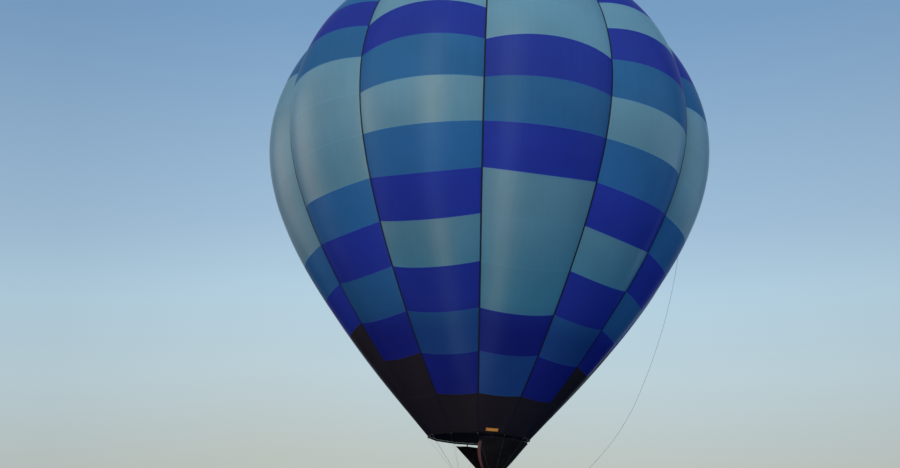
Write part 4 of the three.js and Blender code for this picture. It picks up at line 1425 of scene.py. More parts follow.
def makeKarabiners():
    bar, nut, half = karabinerShape["bar"], karabinerShape["nut"], karabinerShape["nutLength"] / 2
    nutProfile = (
        (bar, -half - 0.001), (nut * 0.92, -half), (nut, -half + 0.002), (nut, half - 0.002),
        (nut * 0.92, half), (bar, half + 0.001),
    )
    for i, (_, sy) in enumerate(frameCorners, 1):
        low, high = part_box(f"karabiner_{i}")
        middle = (low + high) / 2
        halfY, halfZ = (high.y - low.y) / 2 - bar, (high.z - low.z) / 2 - bar
        outline = roundedLoop(halfY, halfZ, karabinerShape["corner"], 0, 0.004)
        form = Form()
        form.tube([middle + Vector((0, p.x, p.y)) for p in outline], bar, 14, closed=True)
        gate = middle + Vector((0, -sy * halfY, 0))
        form.lathe(nutProfile, gate, 20, 1)
        for angle in circleAngles(karabinerShape["ribs"]):
            rib = gate + Vector((cos(angle), sin(angle), 0)) * nut
            form.rod(rib - upward(half * 0.8), rib + upward(half * 0.8), 0.001, 6, 1)
        form.piece(f"karabiner_forging_{i}", [alloyLook, boltLook], replaced=[f"karabiner_{i}"])


makeWires()
makeKarabiners()
print("wires and karabiners made")

# load frame

loadFrameShape = {
    "half": 0.56, "tube": 0.02, "socket": 0.034, "socketHalf": 0.045, "weld": 0.0035,
    "lugHalf": 0.022, "lugRise": 0.028, "lugThick": 0.01, "lugHole": 0.014, "holeRise": 0.026,
    "pin": 0.009, "pinEnd": 0.42,
}
rigHeight = sum(corner.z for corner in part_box("gimbal_ring")) / 2


def weldBead(form, centre, direction, radius, bead):
    # a rippled bead round a bar where it meets another
    direction = Vector(direction).normalized()
    side = direction.orthogonal().normalized()
    up = direction.cross(side)
    angles = circleAngles(48)
    path = [Vector(centre) + (side * cos(angle) + up * sin(angle)) * radius for angle in angles]
    form.tube(path, [bead * (1 + 0.18 * sin(angle * 16)) for angle in angles], 6, closed=True, slot=1)


def addLug(form, foot):
    # a plate with a round top and a round hole, welded on at its foot
    shape = loadFrameShape
    lug = foot + upward(shape["holeRise"])
    outline, hole = [], []
    for angle in circleAngles(48):
        x, z = cos(angle), sin(angle)
        if z >= 0:
            reach = 1 / hypot(x / shape["lugHalf"], z / shape["lugRise"])
        else:
            reach = min(shape["lugHalf"] / max(abs(x), 1e-6), (shape["holeRise"] + 0.001) / -z)
        outline.append(Vector((x * reach, 0, z * reach)))
        hole.append(Vector((x, 0, z)) * shape["lugHole"])
    thick = Vector((0, shape["lugThick"] / 2, 0))
    ease = Vector((0, 0.0012, 0))
    rows = [
        [lug + p * grown + across for p in edge]
        for edge, grown, across in (
            (hole, 1.06, thick), (hole, 1, thick - ease), (hole, 1, ease - thick), (hole, 1.06, -thick),
            (outline, 0.96, -thick), (outline, 1, ease - thick), (outline, 1, thick - ease),
            (outline, 0.96, thick),
        )
    ]
    form.grid([row[::-1] for row in rows], wrapAcross=True, wrapAlong=True)
    for side in (-1, 1):
        edge = [Vector((x, side * shape["lugThick"] / 2, 0.001)) for x in np.linspace(-0.021, 0.021, 22)]
        sizes = [0.0026 * (1 + 0.2 * sin(k * 2.1)) for k in range(22)]
        form.tube([foot + p for p in edge], sizes, 6, slot=1)


def makeLoadFrame():
    shape = loadFrameShape
    half, tube, socket, high = (shape[k] for k in ("half", "tube", "socket", "socketHalf"))
    socketProfile = (
        (0.016, -high + 0.004), (0.018, -high), (socket - 0.002, -high), (socket, -high + 0.002),
        (socket, -high + 0.014), (socket - 0.003, -high + 0.018), (socket - 0.003, high - 0.008),
        (socket - 0.005, high - 0.003), (0.022, high),
    )
    corners = [Vector((sx * half, sy * half, rigHeight)) for sx, sy in frameCorners]
    form = Form()
    for here, there in zip(corners, corners[1:] + corners[:1]):
        along = (there - here).normalized()
        form.rod(here + along * (socket - 0.006), there - along * (socket - 0.006), tube, 28)
        for end, direction in ((here + along * socket, along), (there - along * socket, -along)):
            weldBead(form, end, direction, tube + 0.0006, shape["weld"])
        form.lathe(socketProfile, here, 40)
        addLug(form, here + upward(high))
    for side in (-1, 1):
        outer = Vector((side * (half - tube + 0.002), 0, rigHeight))
        inner = Vector((side * shape["pinEnd"], 0, rigHeight))
        form.rod(outer, inner, shape["pin"], 20, 1)
        weldBead(form, outer - Vector((side * 0.002, 0, 0)), (side, 0, 0), shape["pin"] + 0.001, 0.003)
        # stop collar on the pin
        form.rod(inner + Vector((side * 0.0425, 0, 0)), inner + Vector((side * 0.0465, 0, 0)), 0.017, 24, 1)
    form.piece("load_frame_weldment", [alloyLook, boltLook], replaced=["load_frame"])


makeLoadFrame()

# gimbal ring

gimbalShape = {
    "halfX": 0.44, "halfY": 0.3, "corner": 0.06, "tube": 0.014, "hub": 0.022, "hubHalf": 0.02,
    "bore": 0.0096,
    "nipple": ((0.004, 0), (0.004, 0.003), (0.0025, 0.0045), (0.0025, 0.008), (0.0012, 0.0095)),
}


def makeGimbal():
    shape = gimbalShape
    form = Form()
    loop = roundedLoop(shape["halfX"], shape["halfY"], shape["corner"], rigHeight, 0.012)
    form.tube(loop, shape["tube"], 24, closed=True)
    hub, half, bore = shape["hub"], shape["hubHalf"], shape["bore"]
    profile = (
        (bore, -half + 0.001), (bore + 0.001, -half), (hub - 0.002, -half), (hub, -half + 0.002),
        (hub, half - 0.002), (hub - 0.002, half), (bore + 0.001, half), (bore, half - 0.001),
    )
    for axis, reach in (((1, 0, 0), "halfX"), ((0, 1, 0), "halfY")):
        for side in (-1, 1):
            centre = Vector(axis) * side * shape[reach] + upward(rigHeight)
            form.lathe(profile, centre, 36, 0, axis, closed=True)
            across = Vector((axis[1], axis[0], 0))
            for way in (-1, 1):
                weldBead(form, centre + across * way * (hub - 0.0015), across, shape["tube"] + 0.0004, 0.003)
            form.lathe(shape["nipple"], centre + upward(hub - 0.001), 12, 1)
    form.piece("gimbal_weldment", [alloyLook, boltLook], "ring", replaced=["gimbal_ring"])


makeGimbal()
print("load frame and gimbal made")

# burner

burnerShape = {
    "canX": 0.165, "can": 0.14, "wall": 0.004, "canHeight": 0.43, "canDrop": 0.06, "gap": 0.0003,
    "plate": (0.62, 0.07, 0.01), "post": (0.024, 0.016), "postY": 0.17, "body": (0.17, 0.09, 0.06),
    "bar": 0.009, "barReach": 0.32, "coil": 0.112, "coilTube": 0.009, "coilLift": 0.25, "pitch": 0.03,
    "lever": (0.026, 0.15, 0.008), "jetRing": 0.072, "jetHeight": 0.15,
    "union": ((0.013, 0), (0.013, 0.01), (0.011, 0.012), (0.011, 0.016), (0.015, 0.018), (0.015, 0.03),
              (0.012, 0.033)),
    "hoseEnd": ((0.009, 0.03), (0.009, 0.052), (0.007, 0.054)),
    "gauge": ((0.006, 0), (0.006, 0.01), (0.021, 0.012), (0.023, 0.014), (0.023, 0.026), (0.0205, 0.028),
              (0.0205, 0.0265)),
    "dial": ((0.0203, 0.0262), (0.0203, 0.0268)),
    "knob": ((0.005, 0), (0.005, 0.01), (0.0115, 0.012), (0.0125, 0.015), (0.0125, 0.024), (0.01, 0.026)),
    "pilot": ((0.011, 0), (0.011, 0.02), (0.007, 0.023), (0.007, 0.1), (0.013, 0.106), (0.013, 0.13),
              (0.0115, 0.13), (0.0115, 0.11), (0.004, 0.108)),
    # height on the can's wall, and how far the wall is beaded in there
    "canBeads": (
        (0.004, 0.0), (0.014, 0.0), (0.017, -0.0022), (0.021, -0.0022), (0.024, 0.0), (0.15, 0.0),
        (0.154, -0.002), (0.16, -0.002), (0.164, 0.0), (0.4, 0.0), (0.404, -0.002), (0.409, -0.002),
        (0.413, 0.0),
    ),
    "canRim": 0.0035, "canSeam": 145, "rivetRings": (0.009, 0.157, 0.4065),
    # spacing, radius and length
    "rivet": (0.0295, 0.0032, 0.0032), "jet": (0.0188, 0.0024, 0.009),
}
canBottom = rigHeight - burnerShape["canDrop"]
plateTop = canBottom - burnerShape["gap"]


def makeBurnerBlock():
    shape = burnerShape
    plateX, plateY, plateZ = shape["plate"]
    bodyX, bodyY, bodyZ = shape["body"]
    postX, postY = shape["post"]
    form = Form()
    bar = Vector((0, shape["barReach"], 0))
    middle = upward(rigHeight)
    form.rod(middle - bar, middle + bar, shape["bar"], 24, 1)
    postHeight = shape["canDrop"] + plateZ
    for side in (-1, 1):
        post = Vector((0, side * shape["postY"], rigHeight - postHeight / 2 + 0.001))
        form.block(post, (postX, postY, postHeight - 0.002), 0.002, slot=1)
        clamp = Vector((0, side * shape["postY"], rigHeight))
        form.rod(clamp - Vector((0, 0.014, 0)), clamp + Vector((0, 0.014, 0)), 0.0165, 28, 1)
        for sx in (-1, 1):
            form.bolt(clamp + Vector((sx * 0.0165, 0, 0)), (sx, 0, 0), 0.0045, 2)
    lowPlate = plateTop - plateZ / 2
    form.block((0, 0, lowPlate), (plateX, plateY, plateZ - 0.0004), 0.0025, slot=1)
    form.block((0, 0, lowPlate), (postX, 2 * shape["postY"] + postY, plateZ - 0.0006), 0.002, slot=1)
    bodyTop = plateTop - plateZ
    form.block((0, 0, bodyTop - bodyZ / 2 + 0.0005), (bodyX, bodyY, bodyZ + 0.001), 0.005, 3)
    # milled pockets' lands, unions and gauges on the valve body
    for side in (-1, 1):
        form.block((side * 0.059, 0.0, bodyTop - 0.022), (0.038, bodyY + 0.006, 0.03), 0.003)
        face = Vector((side * 0.059, bodyY / 2 + 0.003, bodyTop - 0.022))
        gauge = Vector((side * (bodyX / 2), 0.018, bodyTop - 0.03))
        knob = Vector((side * 0.022, -bodyY / 2, bodyTop - 0.034))
        for profile, place, sides, slot, axis in (
            ("union", face, 6, 0, (0, 1, 0)), ("hoseEnd", face, 24, 0, (0, 1, 0)),
            ("gauge", gauge, 36, 0, (side, 0, 0)), ("dial", gauge, 36, 3, (side, 0, 0)),
            ("knob", knob, 10, 2, (0, -1, 0)),
        ):
            form.lathe(shape[profile], place, sides, slot, axis)
        for sy in (-1, 1):
            form.bolt((side * 0.072, sy * 0.034, bodyTop - bodyZ), (0, 0, -1), 0.0042, 2)
            for x in (0.29, 0.125):
                form.bolt((side * x, sy * 0.024, lowPlate - plateZ / 2), (0, 0, -1), 0.006, 2)
        pipe = [Vector((side * x, y, z)) for x, y, z in (
            (0.05, 0.04, bodyTop - 0.012), (0.11, 0.05, bodyTop - 0.012), (0.15, 0.05, bodyTop - 0.012),
            (0.165, 0.05, bodyTop - 0.006), (0.168, 0.05, bodyTop + 0.004), (0.168, 0.05, plateTop + 0.03),
        )]
        form.tube(pipe, 0.0045, 12)
    looks = [brassLook, alloyLook, boltLook, dialLook]
    form.piece("burner_frame_and_valves", looks, "burner", "brass", ["burner_block"])


def makeBurnerCans():
    shape = burnerShape
    outer, rim, high = shape["can"], shape["canRim"], shape["canHeight"]
    inner = outer - shape["wall"]
    profile = [(inner, 0.0), (outer, 0.0)]
    profile += [(outer - 0.0008 + out, z) for z, out in shape["canBeads"]]
    profile += [
        (outer - rim + rim * cos(radians(a)), high - rim + rim * sin(radians(a))) for a in range(0, 181, 30)
    ]
    profile += [(inner, high - 0.006), (inner, 0.004)]
    turns = range(0, 360, 6)
    edge = outer - 0.0006
    for i, side in enumerate((-1, 1), 1):
        centre = Vector((side * shape["canX"], 0, canBottom))
        can = Form()
        can.lathe(profile, centre, 96, closed=True)
        # lap seam down the outer side
        seam, across = (outward(side * shape["canSeam"] + turn) for turn in (0, 90))
        can.sheet([
            [centre + seam * (edge + proud) + across * x + upward(z)
             for x, proud in ((-0.011, 0), (0, 0.0008), (0.011, 0))]
            for z in np.linspace(0.027, 0.397, 12)
        ], 0.0012)
        can.piece(
            f"burner_can_shell_{i}", [burnerLook], "burner", "burner_steel", [f"burner_can_{i}"],
        )
        paths, lay = [], []
        for z in shape["rivetRings"]:
            ring = [centre + outward(a) * (outer - 0.0012) + upward(z) for a in turns]
            lay += [outward(a) for a in turns]
            paths.append([*ring, ring[0]])
        paths.append([centre + seam * (edge + 0.0006) + upward(z) for z in np.linspace(0.035, 0.39, 20)])
        lay += [seam] * len(paths[-1])
        addStuds(f"can_rivets_{i}", boltLook, shape["rivet"], paths, lay, "burner", "burner_steel", 8)


def makeBurnerCoils():
    shape = burnerShape
    radius, lift, pitch = shape["coil"], shape["coilLift"], shape["pitch"]
    ring, jetHeight = shape["jetRing"], shape["jetHeight"]
    # the coil's own leg upwards, then two turns
    knots = [(radius, 0, 0.0), (radius, 0, 0.045), (radius, 0, 0.095), (radius, 0, 0.145)]
    for k in range(1, 49):
        angle = 2 * pi * k / 24
        knots.append((radius * cos(angle), radius * sin(angle), lift - 2 * pitch + pitch * k / 24))
    # the return leg from the top turn down to the jet ring
    back = [
        (radius - 0.002, 0.004, lift), (radius - 0.01, 0.022, lift + 0.003), (0.088, 0.03, lift - 0.006),
        (0.078, 0.026, lift - 0.04), (0.074, 0.012, lift - 0.075), (ring, 0.002, jetHeight + 0.004),
    ]
    for i, side in enumerate((-1, 1), 1):
        centre = Vector((side * shape["canX"], 0, plateTop + 0.0002))
        form = Form()
        form.tube([centre + Vector(p) for p in centripetalPath(knots, 3)], shape["coilTube"], 16)
        form.tube([centre + Vector(p) for p in centripetalPath(back, 6)], 0.0055, 12)
        turn = [centre + outward(a) * ring + upward(jetHeight) for a in range(0, 360, 6)]
        form.tube(turn, 0.0065, 12, closed=True)
        for a in range(30, 390, 120):
            spoke = centre + outward(a) * ring
            form.rod(spoke + upward(jetHeight), spoke + upward(0.001), 0.0035, 10)
        # pilot light in the middle
        form.lathe(shape["pilot"], centre + upward(0.0005), 24, 1)
        form.piece(
            f"coil_and_jet_ring_{i}", [steelLook, brassLook], "burner", "burner_steel",
            [f"burner_coil_{i}"],
        )
        jets = [p + upward(0.006) for p in turn]
        lay = [(0, 0, 1)] * len(jets)
        addStuds(f"jets_{i}", brassLook, shape["jet"], [[*jets, jets[0]]], lay, "burner", "brass")


def makeLevers():
    width, length, thick = burnerShape["lever"]
    for i in (1, 2):
        low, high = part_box(f"valve_lever_{i}")
        middle = (low + high) / 2
        rows = []
        for z, shrink in ((-1, 0.0016), (-0.6, 0.0), (0.6, 0.0), (1, 0.0016)):
            row = []
            for p in roundedLoop(width / 2, length / 2, 0.0115, 0, 0.004):
                waist = 1 - 0.22 * exp(-((p.y - 0.018) / 0.028) ** 2)
                x = p.x * waist * (1 - shrink / (width / 2))
                row.append(middle + Vector((x, p.y * (1 - shrink / (length / 2)), z * thick / 2)))
            rows.append(row)
        form = Form()
        form.grid(rows, wrapAcross=True, capped=True)
        form.piece(f"lever_grip_{i}", [leverLook], "burner", "lever_plastic", [f"valve_lever_{i}"])


makeBurnerBlock()
makeBurnerCans()
makeBurnerCoils()
makeLevers()
print("burner made")

# basket

basketShape = {
    "halfX": 0.66, "halfY": 0.54, "wall": 0.03, "corner": 0.12,
    "holeHalf": 0.105, "holeLow": 0.275, "holeHigh": 0.385, "holeEase": 0.004,
    # the weave, by the names that its tree gives them
    "weave": {
        "Stakes": 62, "PerStake": 4, "Pitch": 0.0154, "Strand": 0.0182, "Cane": 0.0125, "Swing": 0.0058,
        "StakeRadius": 0.0052, "Unevenness": 0.0011,
    },
    "rim": 0.034, "cup": 0.028, "hideHeight": 0.15, "hideProud": 0.0066,
    # spacing, radius and length
    "rimStitch": (0.024, 0.0019, 0.019), "hideStitch": (0.031, 0.0021, 0.02),
}
basketLow, basketTop = (corner.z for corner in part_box("basket_body"))
rimHeight = basketTop + 0.0003 + basketShape["rim"] * cos(pi / 8)
wallMiddle = tuple(basketShape[k] - basketShape["wall"] / 2 for k in ("halfX", "halfY", "corner"))


def wallLoop(out, height, spacing):
    # round the basket, outwards of the middle of its wall
    return roundedLoop(*(v + out for v in wallMiddle), height, spacing)


def outerLoop(out, height, spacing):
    # round the basket, outwards of its outer face
    return roundedLoop(*(basketShape[k] + out for k in ("halfX", "halfY", "corner")), height, spacing)


def aroundLoop(loop):
    # direction of the way round at each point
    return [(loop[(k + 1) % len(loop)] - loop[k - 1]).normalized() for k in range(len(loop))]


def weaveTree(values):
    # canes that pass in and out of upright stakes, row after row, round a closed path
    growth = Growth("basketWeave", **values, Look="")
    entry, node, math = growth.entry, growth.node, growth.math
    loop = node("MeshToCurve", entry["Path"])[0]
    even = growth.evenly(loop, math("MULTIPLY", entry["Stakes"], entry["PerStake"]))
    index = node("InputIndex")[0]
    wires = node("CurveToMesh", growth.store(even, "step", index))[0]
    ladder = node("MeshLine", Count=entry["Rows"], settings={"mode": "OFFSET"})[0]
    for socket in ladder.node.inputs:
        if socket.name == "Offset" and socket.type == "VECTOR":
            growth.tree.links.new(growth.upward(entry["Pitch"]), socket)
        if socket.name == "Start Location":
            growth.tree.links.new(growth.upward(entry["Foot"]), socket)
    placed = node("InstanceOnPoints", Points=growth.store(ladder, "row", index), Instance=wires)[0]
    real = node("RealizeInstances", placed)[0]

    # every second row passes the stakes on the other side
    phase = math("ADD", math("DIVIDE", growth.read("step"), entry["PerStake"]), growth.read("row"))
    swing = math("MULTIPLY", math("COSINE", math("MULTIPLY", phase, pi)), entry["Swing"])
    chance = node("FunctionNodeRandomValue", Seed=11, settings={"data_type": "FLOAT"})[1]
    for socket in chance.node.inputs:
        if socket.type == "VALUE" and socket.name == "Min":
            socket.default_value = -1.0
    lift = growth.upward(math("MULTIPLY", chance, entry["Unevenness"]))
    out = growth.read("lay", "FLOAT_VECTOR")
    shift = node("ShaderNodeVectorMath", out, Scale=swing, settings={"operation": "SCALE"})[0]
    offset = node("ShaderNodeVectorMath", shift, lift, settings={"operation": "ADD"})[0]
    waved = node("SetPosition", Geometry=real, Offset=offset)[0]

    # left open at the foot holes
    x, _, z = node("ShaderNodeSeparateXYZ", node("InputPosition")[0])
    nearHole = math("LESS_THAN", math("ABSOLUTE", x), entry["HoleHalf"])
    overLow = math("GREATER_THAN", z, entry["HoleLow"])
    underHigh = math("LESS_THAN", z, entry["HoleHigh"])
    inHole = math("MULTIPLY", nearHole, math("MULTIPLY", overLow, underHigh))
    canes = node("MeshToCurve", node("DeleteGeometry", Geometry=waved, Selection=inHole)[0])[0]
    steady = node("SetCurveNormal", Curve=canes)[0]
    steady.node.mode = "Z_UP"
    circle = node("CurvePrimitiveCircle", Resolution=5, Radius=0.5)[0]
    flat = node("ShaderNodeCombineXYZ", entry["Cane"], entry["Strand"], 1.0)[0]
    profile = node("Transform", Geometry=circle, Scale=flat)[0]
    parts = [node("CurveToMesh", Curve=steady, Profile_Curve=profile, Fill_Caps=True)[0]]

    # stakes, cut short above and below the foot holes
    spots = growth.evenly(loop, entry["Stakes"])
    height = math("MULTIPLY", entry["Rows"], entry["Pitch"])
    lowPart = math("SUBTRACT", entry["HoleLow"], entry["Foot"])
    highPart = math("SUBTRACT", math("ADD", entry["Foot"], height), entry["HoleHigh"])
    clearHole = math("SUBTRACT", 1.0, nearHole)
    for chosen, start, length in (
        (clearHole, entry["Foot"], height), (nearHole, entry["Foot"], lowPart),
        (nearHole, entry["HoleHigh"], highPart),
    ):
        bar = node("MeshCylinder", Vertices=6, Radius=entry["StakeRadius"], Depth=length)[0]
        middle = growth.upward(math("ADD", start, math("MULTIPLY", length, 0.5)))
        upright = node("Transform", Geometry=bar, Translation=middle)[0]
        parts.append(node("InstanceOnPoints", Points=spots, Selection=chosen, Instance=upright)[0])
    joined = node("JoinGeometry")[0]
    for part in reversed(parts):
        growth.tree.links.new(part, joined.node.inputs[0])
    growth.finish(node("SetShadeSmooth", Geometry=joined)[0], entry["Look"])
    return growth


def makeWeave():
    shape = basketShape
    loop = wallLoop(0, 0, 0.012)
    lay = [Vector((ahead.y, -ahead.x, 0)) for ahead in aroundLoop(loop)]
    rows = int((basketTop - basketLow - 0.012) / shape["weave"]["Pitch"])
    ease = shape["holeEase"]
    values = {
        **shape["weave"], "Rows": rows, "Foot": basketLow + 0.009, "HoleHalf": shape["holeHalf"] + ease,
        "HoleLow": basketLow + shape["holeLow"] - ease, "HoleHigh": basketLow + shape["holeHigh"] + ease,
    }
    grown = weaveTree(values).run("wicker_weave", {**values, "Look": caneLook}, [[*loop, loop[0]]], lay)
    settle(grown, "airframe", "wicker", "basket_body")
    print("weave:", len(grown.data.polygons), "faces")
    trim = Form()
    holeMiddle = basketLow + (shape["holeLow"] + shape["holeHigh"]) / 2
    halfHigh = (shape["holeHigh"] - shape["holeLow"]) / 2
    outline = roundedLoop(shape["holeHalf"] + ease, halfHigh + ease, 0.03, 0, 0.01)
    for side in (-1, 1):
        centre = Vector((0, side * (shape["halfY"] - shape["wall"] / 2), holeMiddle))
        path = [centre + Vector((p.x, 0, p.y)) for p in outline[::-side]]
        trim.tube(path, 0.0125, 12, closed=True, squeeze=1.25)
    trim.piece("foot_hole_binding", [hideLeather], slot="leather")


def makeRim():
    shape = basketShape
    loop = wallLoop(0, rimHeight, 0.015)
    sizes = []
    for k, p in enumerate(loop):
        pinch = exp(-((p.x / 0.02) ** 2)) + exp(-((p.y / 0.02) ** 2))
        sizes.append(shape["rim"] * (1 - 0.07 * pinch + 0.008 * sin(k * 0.9)))
    rim = Form()
    rim.tube(loop, sizes, 28, closed=True)
    padded = rim.piece("padded_rim", [rimLeather], slot="leather", replaced=["basket_rim"], sharp=70)
    cups = Form()
    cup = shape["cup"]
    for i in range(1, 5):
        foot = rodEnds(i)[0]
        base = Vector((foot.x, foot.y, rimHeight + 0.012))
        top = foot.z - 0.0015 - base.z
        profile = (
            (cup + 0.01, 0.014), (cup + 0.01, 0.018), (cup + 0.001, 0.022), (cup - 0.001, 0.026),
            (cup - 0.001, top - 0.006), (cup, top - 0.004), (cup, top - 0.001), (cup - 0.002, top),
            (0.017, top), (0.0165, top - 0.003),
        )
        cups.lathe(profile, base, 32)
    cups.piece("rod_cups", [sleeveLeather], slot="leather")
    # lacing under the rim, inside and outside
    rings = [wallLoop(out, rimHeight - 0.023, 0.03) for out in (-0.026, 0.026)]
    lay = [ahead * 0.7 + upward(1) for ring in rings for ahead in aroundLoop(ring)]
    addStuds("rim_lacing", stitchLook, shape["rimStitch"], [[*ring, ring[0]] for ring in rings], lay)


def makeHide():
    shape = basketShape
    rows = []
    count = 12
    for i in range(count + 1):
        height = basketLow + 0.0005 + (shape["hideHeight"] - 0.001) * i / count
        flare = shape["hideProud"] - 0.0012 * sin(pi * i / count)
        rows.append(outerLoop(flare, height, 0.02))
    for k, p in enumerate(rows[-1]):
        p.z -= 0.006 * (0.5 + 0.5 * sin(k * 1.05))
    hide = Form()
    hide.sheet(rows, 0.0055, wrapAcross=True)
    piece = hide.piece("foot_hide", [hideLeather], slot="leather", replaced=["basket_hide"], sharp=60)
    declareSheet(rows, wrapAcross=True)
    rings = [outerLoop(shape["hideProud"] + 0.0002, basketLow + rise, 0.03) for rise in (0.014, 0.128)]
    lay = [upward(1)] * sum(len(ring) for ring in rings)
    addStuds("hide_lacing", stitchLook, shape["hideStitch"], [[*ring, ring[0]] for ring in rings], lay)


def rodEnds(i):
    # foot and top of an upright rod, on its own line
    low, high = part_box(f"upright_rod_{i}")
    sx, sy = frameCorners[i - 1]
    turn = basketShape["corner"] * (1 - sqrt(0.5))
    footX, footY = (basketShape[k] - basketShape["wall"] / 2 - turn for k in ("halfX", "halfY"))
    foot = Vector((sx * footX, sy * footY, low.z + 0.0006))
    half = loadFrameShape["half"]
    return foot, Vector((sx * half, sy * half, high.z - 0.0006))


uprightShape = {
    "rod": 0.014, "bare": 0.06, "steps": 44, "sleeve": 0.0215, "padding": 0.0068, "crease": 0.0009,
    "flap": (-0.75, -0.45, -0.15, 0.15, 0.45, 0.75), "stitchTurn": 0.62, "stitch": (0.011, 0.0008, 0.0065),
}


def makeUprights():
    shape = uprightShape
    steps = shape["steps"]
    for i in range(1, 5):
        foot, top = rodEnds(i)
        rod = Form()
        rod.rod(foot, top, shape["rod"], 24)
        rod.piece(f"nylon_rod_{i}", [nylonLook], slot="nylon_rod", replaced=[f"upright_rod_{i}"])
        length = (top - foot).length
        start, end = shape["bare"] / length, 1 - shape["bare"] / length
        path, sizes = [], []
        for k in range(steps + 1):
            share = k / steps
            path.append(foot.lerp(top, start + (end - start) * share))
            closeEnds = min(1, min(share, 1 - share) * 14)
            padding = shape["padding"] * closeEnds**0.5
            sizes.append(shape["sleeve"] + padding + shape["crease"] * sin(share * 34 + (i - 1)) * closeEnds)
        sleeve = Form()
        sleeve.tube(path, sizes, 26)
        padded = sleeve.piece(
            f"rod_sleeve_{i}", [sleeveLeather], slot="leather", replaced=[f"upright_sleeve_{i}"],
            sharp=70,
        )
        # a closing flap down the outer side, with its stitches
        out = Vector((foot.x, foot.y, 0)).normalized()
        across = Vector((-out.y, out.x, 0))

        def onSleeve(k, turn, proud):
            return path[k] + (out * cos(turn) + across * sin(turn)) * (sizes[k] + proud)

        flap = Form()
        covered = range(3, steps - 2)
        flap.sheet([
            [onSleeve(k, turn, 0.002 if abs(turn) < 0.5 else 0.0008) for turn in shape["flap"]]
            for k in covered
        ], 0.0018)
        flap.piece(f"sleeve_flap_{i}", [sleeveLeather], slot="leather", sharp=70)
        turns = (-shape["stitchTurn"], shape["stitchTurn"])
        paths = [[onSleeve(k, turn, 0.0017) for k in covered] for turn in turns]
        lay = [(top - foot).normalized()] * (2 * len(covered))
        addStuds(f"sleeve_stitches_{i}", stitchLook, shape["stitch"], paths, lay)


runnerShape = {
    "bolts": (-0.42, -0.28, -0.14, 0.0, 0.14, 0.28, 0.42), "boltRows": (-0.43, 0.0, 0.43),
    "recess": ((0.009, -0.0002), (0.009, 0.003)), "head": (0.14, 0.011, 0.006),
}


def makeFloorAndRunners():
    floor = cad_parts["basket_floor"]
    floor.data.materials.clear()
    floor.data.materials.append(plyLook)
    for i in (1, 2, 3):
        low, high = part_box(f"runner_{i}")
        form = Form()
        form.block((low + high) / 2, high - low, 0.006, 3)
        for y in runnerShape["bolts"][::2]:
            form.lathe(runnerShape["recess"], Vector(((low.x + high.x) / 2, y, low.z + 0.0004)), 20, 1)
        looks = [runnerWood, boltLook]
        form.piece(f"wood_runner_{i}", looks, slot="plywood", replaced=[f"runner_{i}"])
    # bolt heads inside, over the runners
    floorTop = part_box("basket_floor")[1].z
    paths = [[(x, y, floorTop) for y in runnerShape["bolts"]] for x in runnerShape["boltRows"]]
    lay = [(0, 0, 1)] * sum(len(path) for path in paths)
    addStuds("floor_bolts", boltLook, runnerShape["head"], paths, lay, slot="plywood", sides=12)


handleShape = {
    "y": 0.193, "fall": 0.125, "strand": 0.0062, "lay": 0.006, "turns": 9,
    "route": (
        (0.0, -0.08, 0), (0.0186, -0.08, 0), (0.0496, -0.072, -0.039), (0.062, -0.048, -0.104),
        (0.062, 0, -0.13), (0.062, 0.048, -0.104), (0.0496, 0.072, -0.039), (0.0186, 0.08, 0),
        (0.0, 0.08, 0),
    ),
    "plate": ((0.024, 0), (0.024, 0.0015), (0.022, 0.0025), (0.0145, 0.003)),
}


def makeHandles():
    shape = handleShape
    for i, (sx, sy) in enumerate(frameCorners, 1):
        base = Vector((sx * basketShape["halfX"], sy * shape["y"], rimHeight - shape["fall"]))
        route = [(sx * (out + 0.0005), sx * along, height) for out, along, height in shape["route"]]
        path = [base + Vector(p) for p in centripetalPath(route, 12)]
        frames = sweepFrames(path, False)
        form = Form()
        for strand in range(3):
            twisted = []
            for k, (centre, (side, up)) in enumerate(zip(path, frames)):
                angle = 2 * pi * (shape["turns"] * k / len(path) + strand / 3)
                twisted.append(centre + (side * cos(angle) + up * sin(angle)) * shape["lay"])
            form.tube(twisted, shape["strand"], 8)
        for end in (path[0], path[-1]):
            form.lathe(shape["plate"], end + Vector((sx * 0.001, 0, 0)), 28, 1, (sx, 0, 0))
        looks = [handleRopeLook, rimLeather]
        form.piece(f"twisted_handle_{i}", looks, slot="rope", replaced=[f"rope_handle_{i}"])


makeWeave()
makeRim()
makeHide()
makeUprights()
makeFloorAndRunners()
makeHandles()
print("basket made")

# fuel cylinders and their valves

tankShape = {
    "profile": (
        (0.01, 0.03), (0.1, 0.022), (0.106, 0.001), (0.1075, 0.0), (0.1165, 0.0), (0.118, 0.001),
        (0.121, 0.02), (0.126, 0.036), (0.138, 0.056), (0.147, 0.076), (0.15, 0.098), (0.15, 0.3),
        (0.1505, 0.303), (0.1505, 0.313), (0.15, 0.316), (0.15, 0.522), (0.147, 0.546), (0.138, 0.57),
        (0.122, 0.592), (0.104, 0.606), (0.1012, 0.612), (0.1, 0.62), (0.1, 0.686), (0.0985, 0.69),
        (0.0955, 0.69), (0.094, 0.686), (0.094, 0.616), (0.06, 0.6185), (0.01, 0.6195),
    ),
    "straps": (0.17, 0.45), "strapHalf": 0.022, "strapRadius": 0.1532, "strapThickness": 0.0022,
    "valveHeight": 0.6204,
    "valve": (
        (0.022, 0), (0.024, 0.001), (0.024, 0.012), (0.02, 0.016), (0.02, 0.038), (0.022, 0.041),
        (0.022, 0.045), (0.014, 0.047), (0.008, 0.048), (0.008, 0.06),
    ),
    "outlet": ((0.01, 0), (0.01, 0.01), (0.012, 0.012), (0.012, 0.026), (0.009, 0.028)),
    "wheel": 0.029, "wheelLobe": 0.0018, "wheelHub": ((0.009, -0.005), (0.009, 0.004), (0.006, 0.0055)),
}


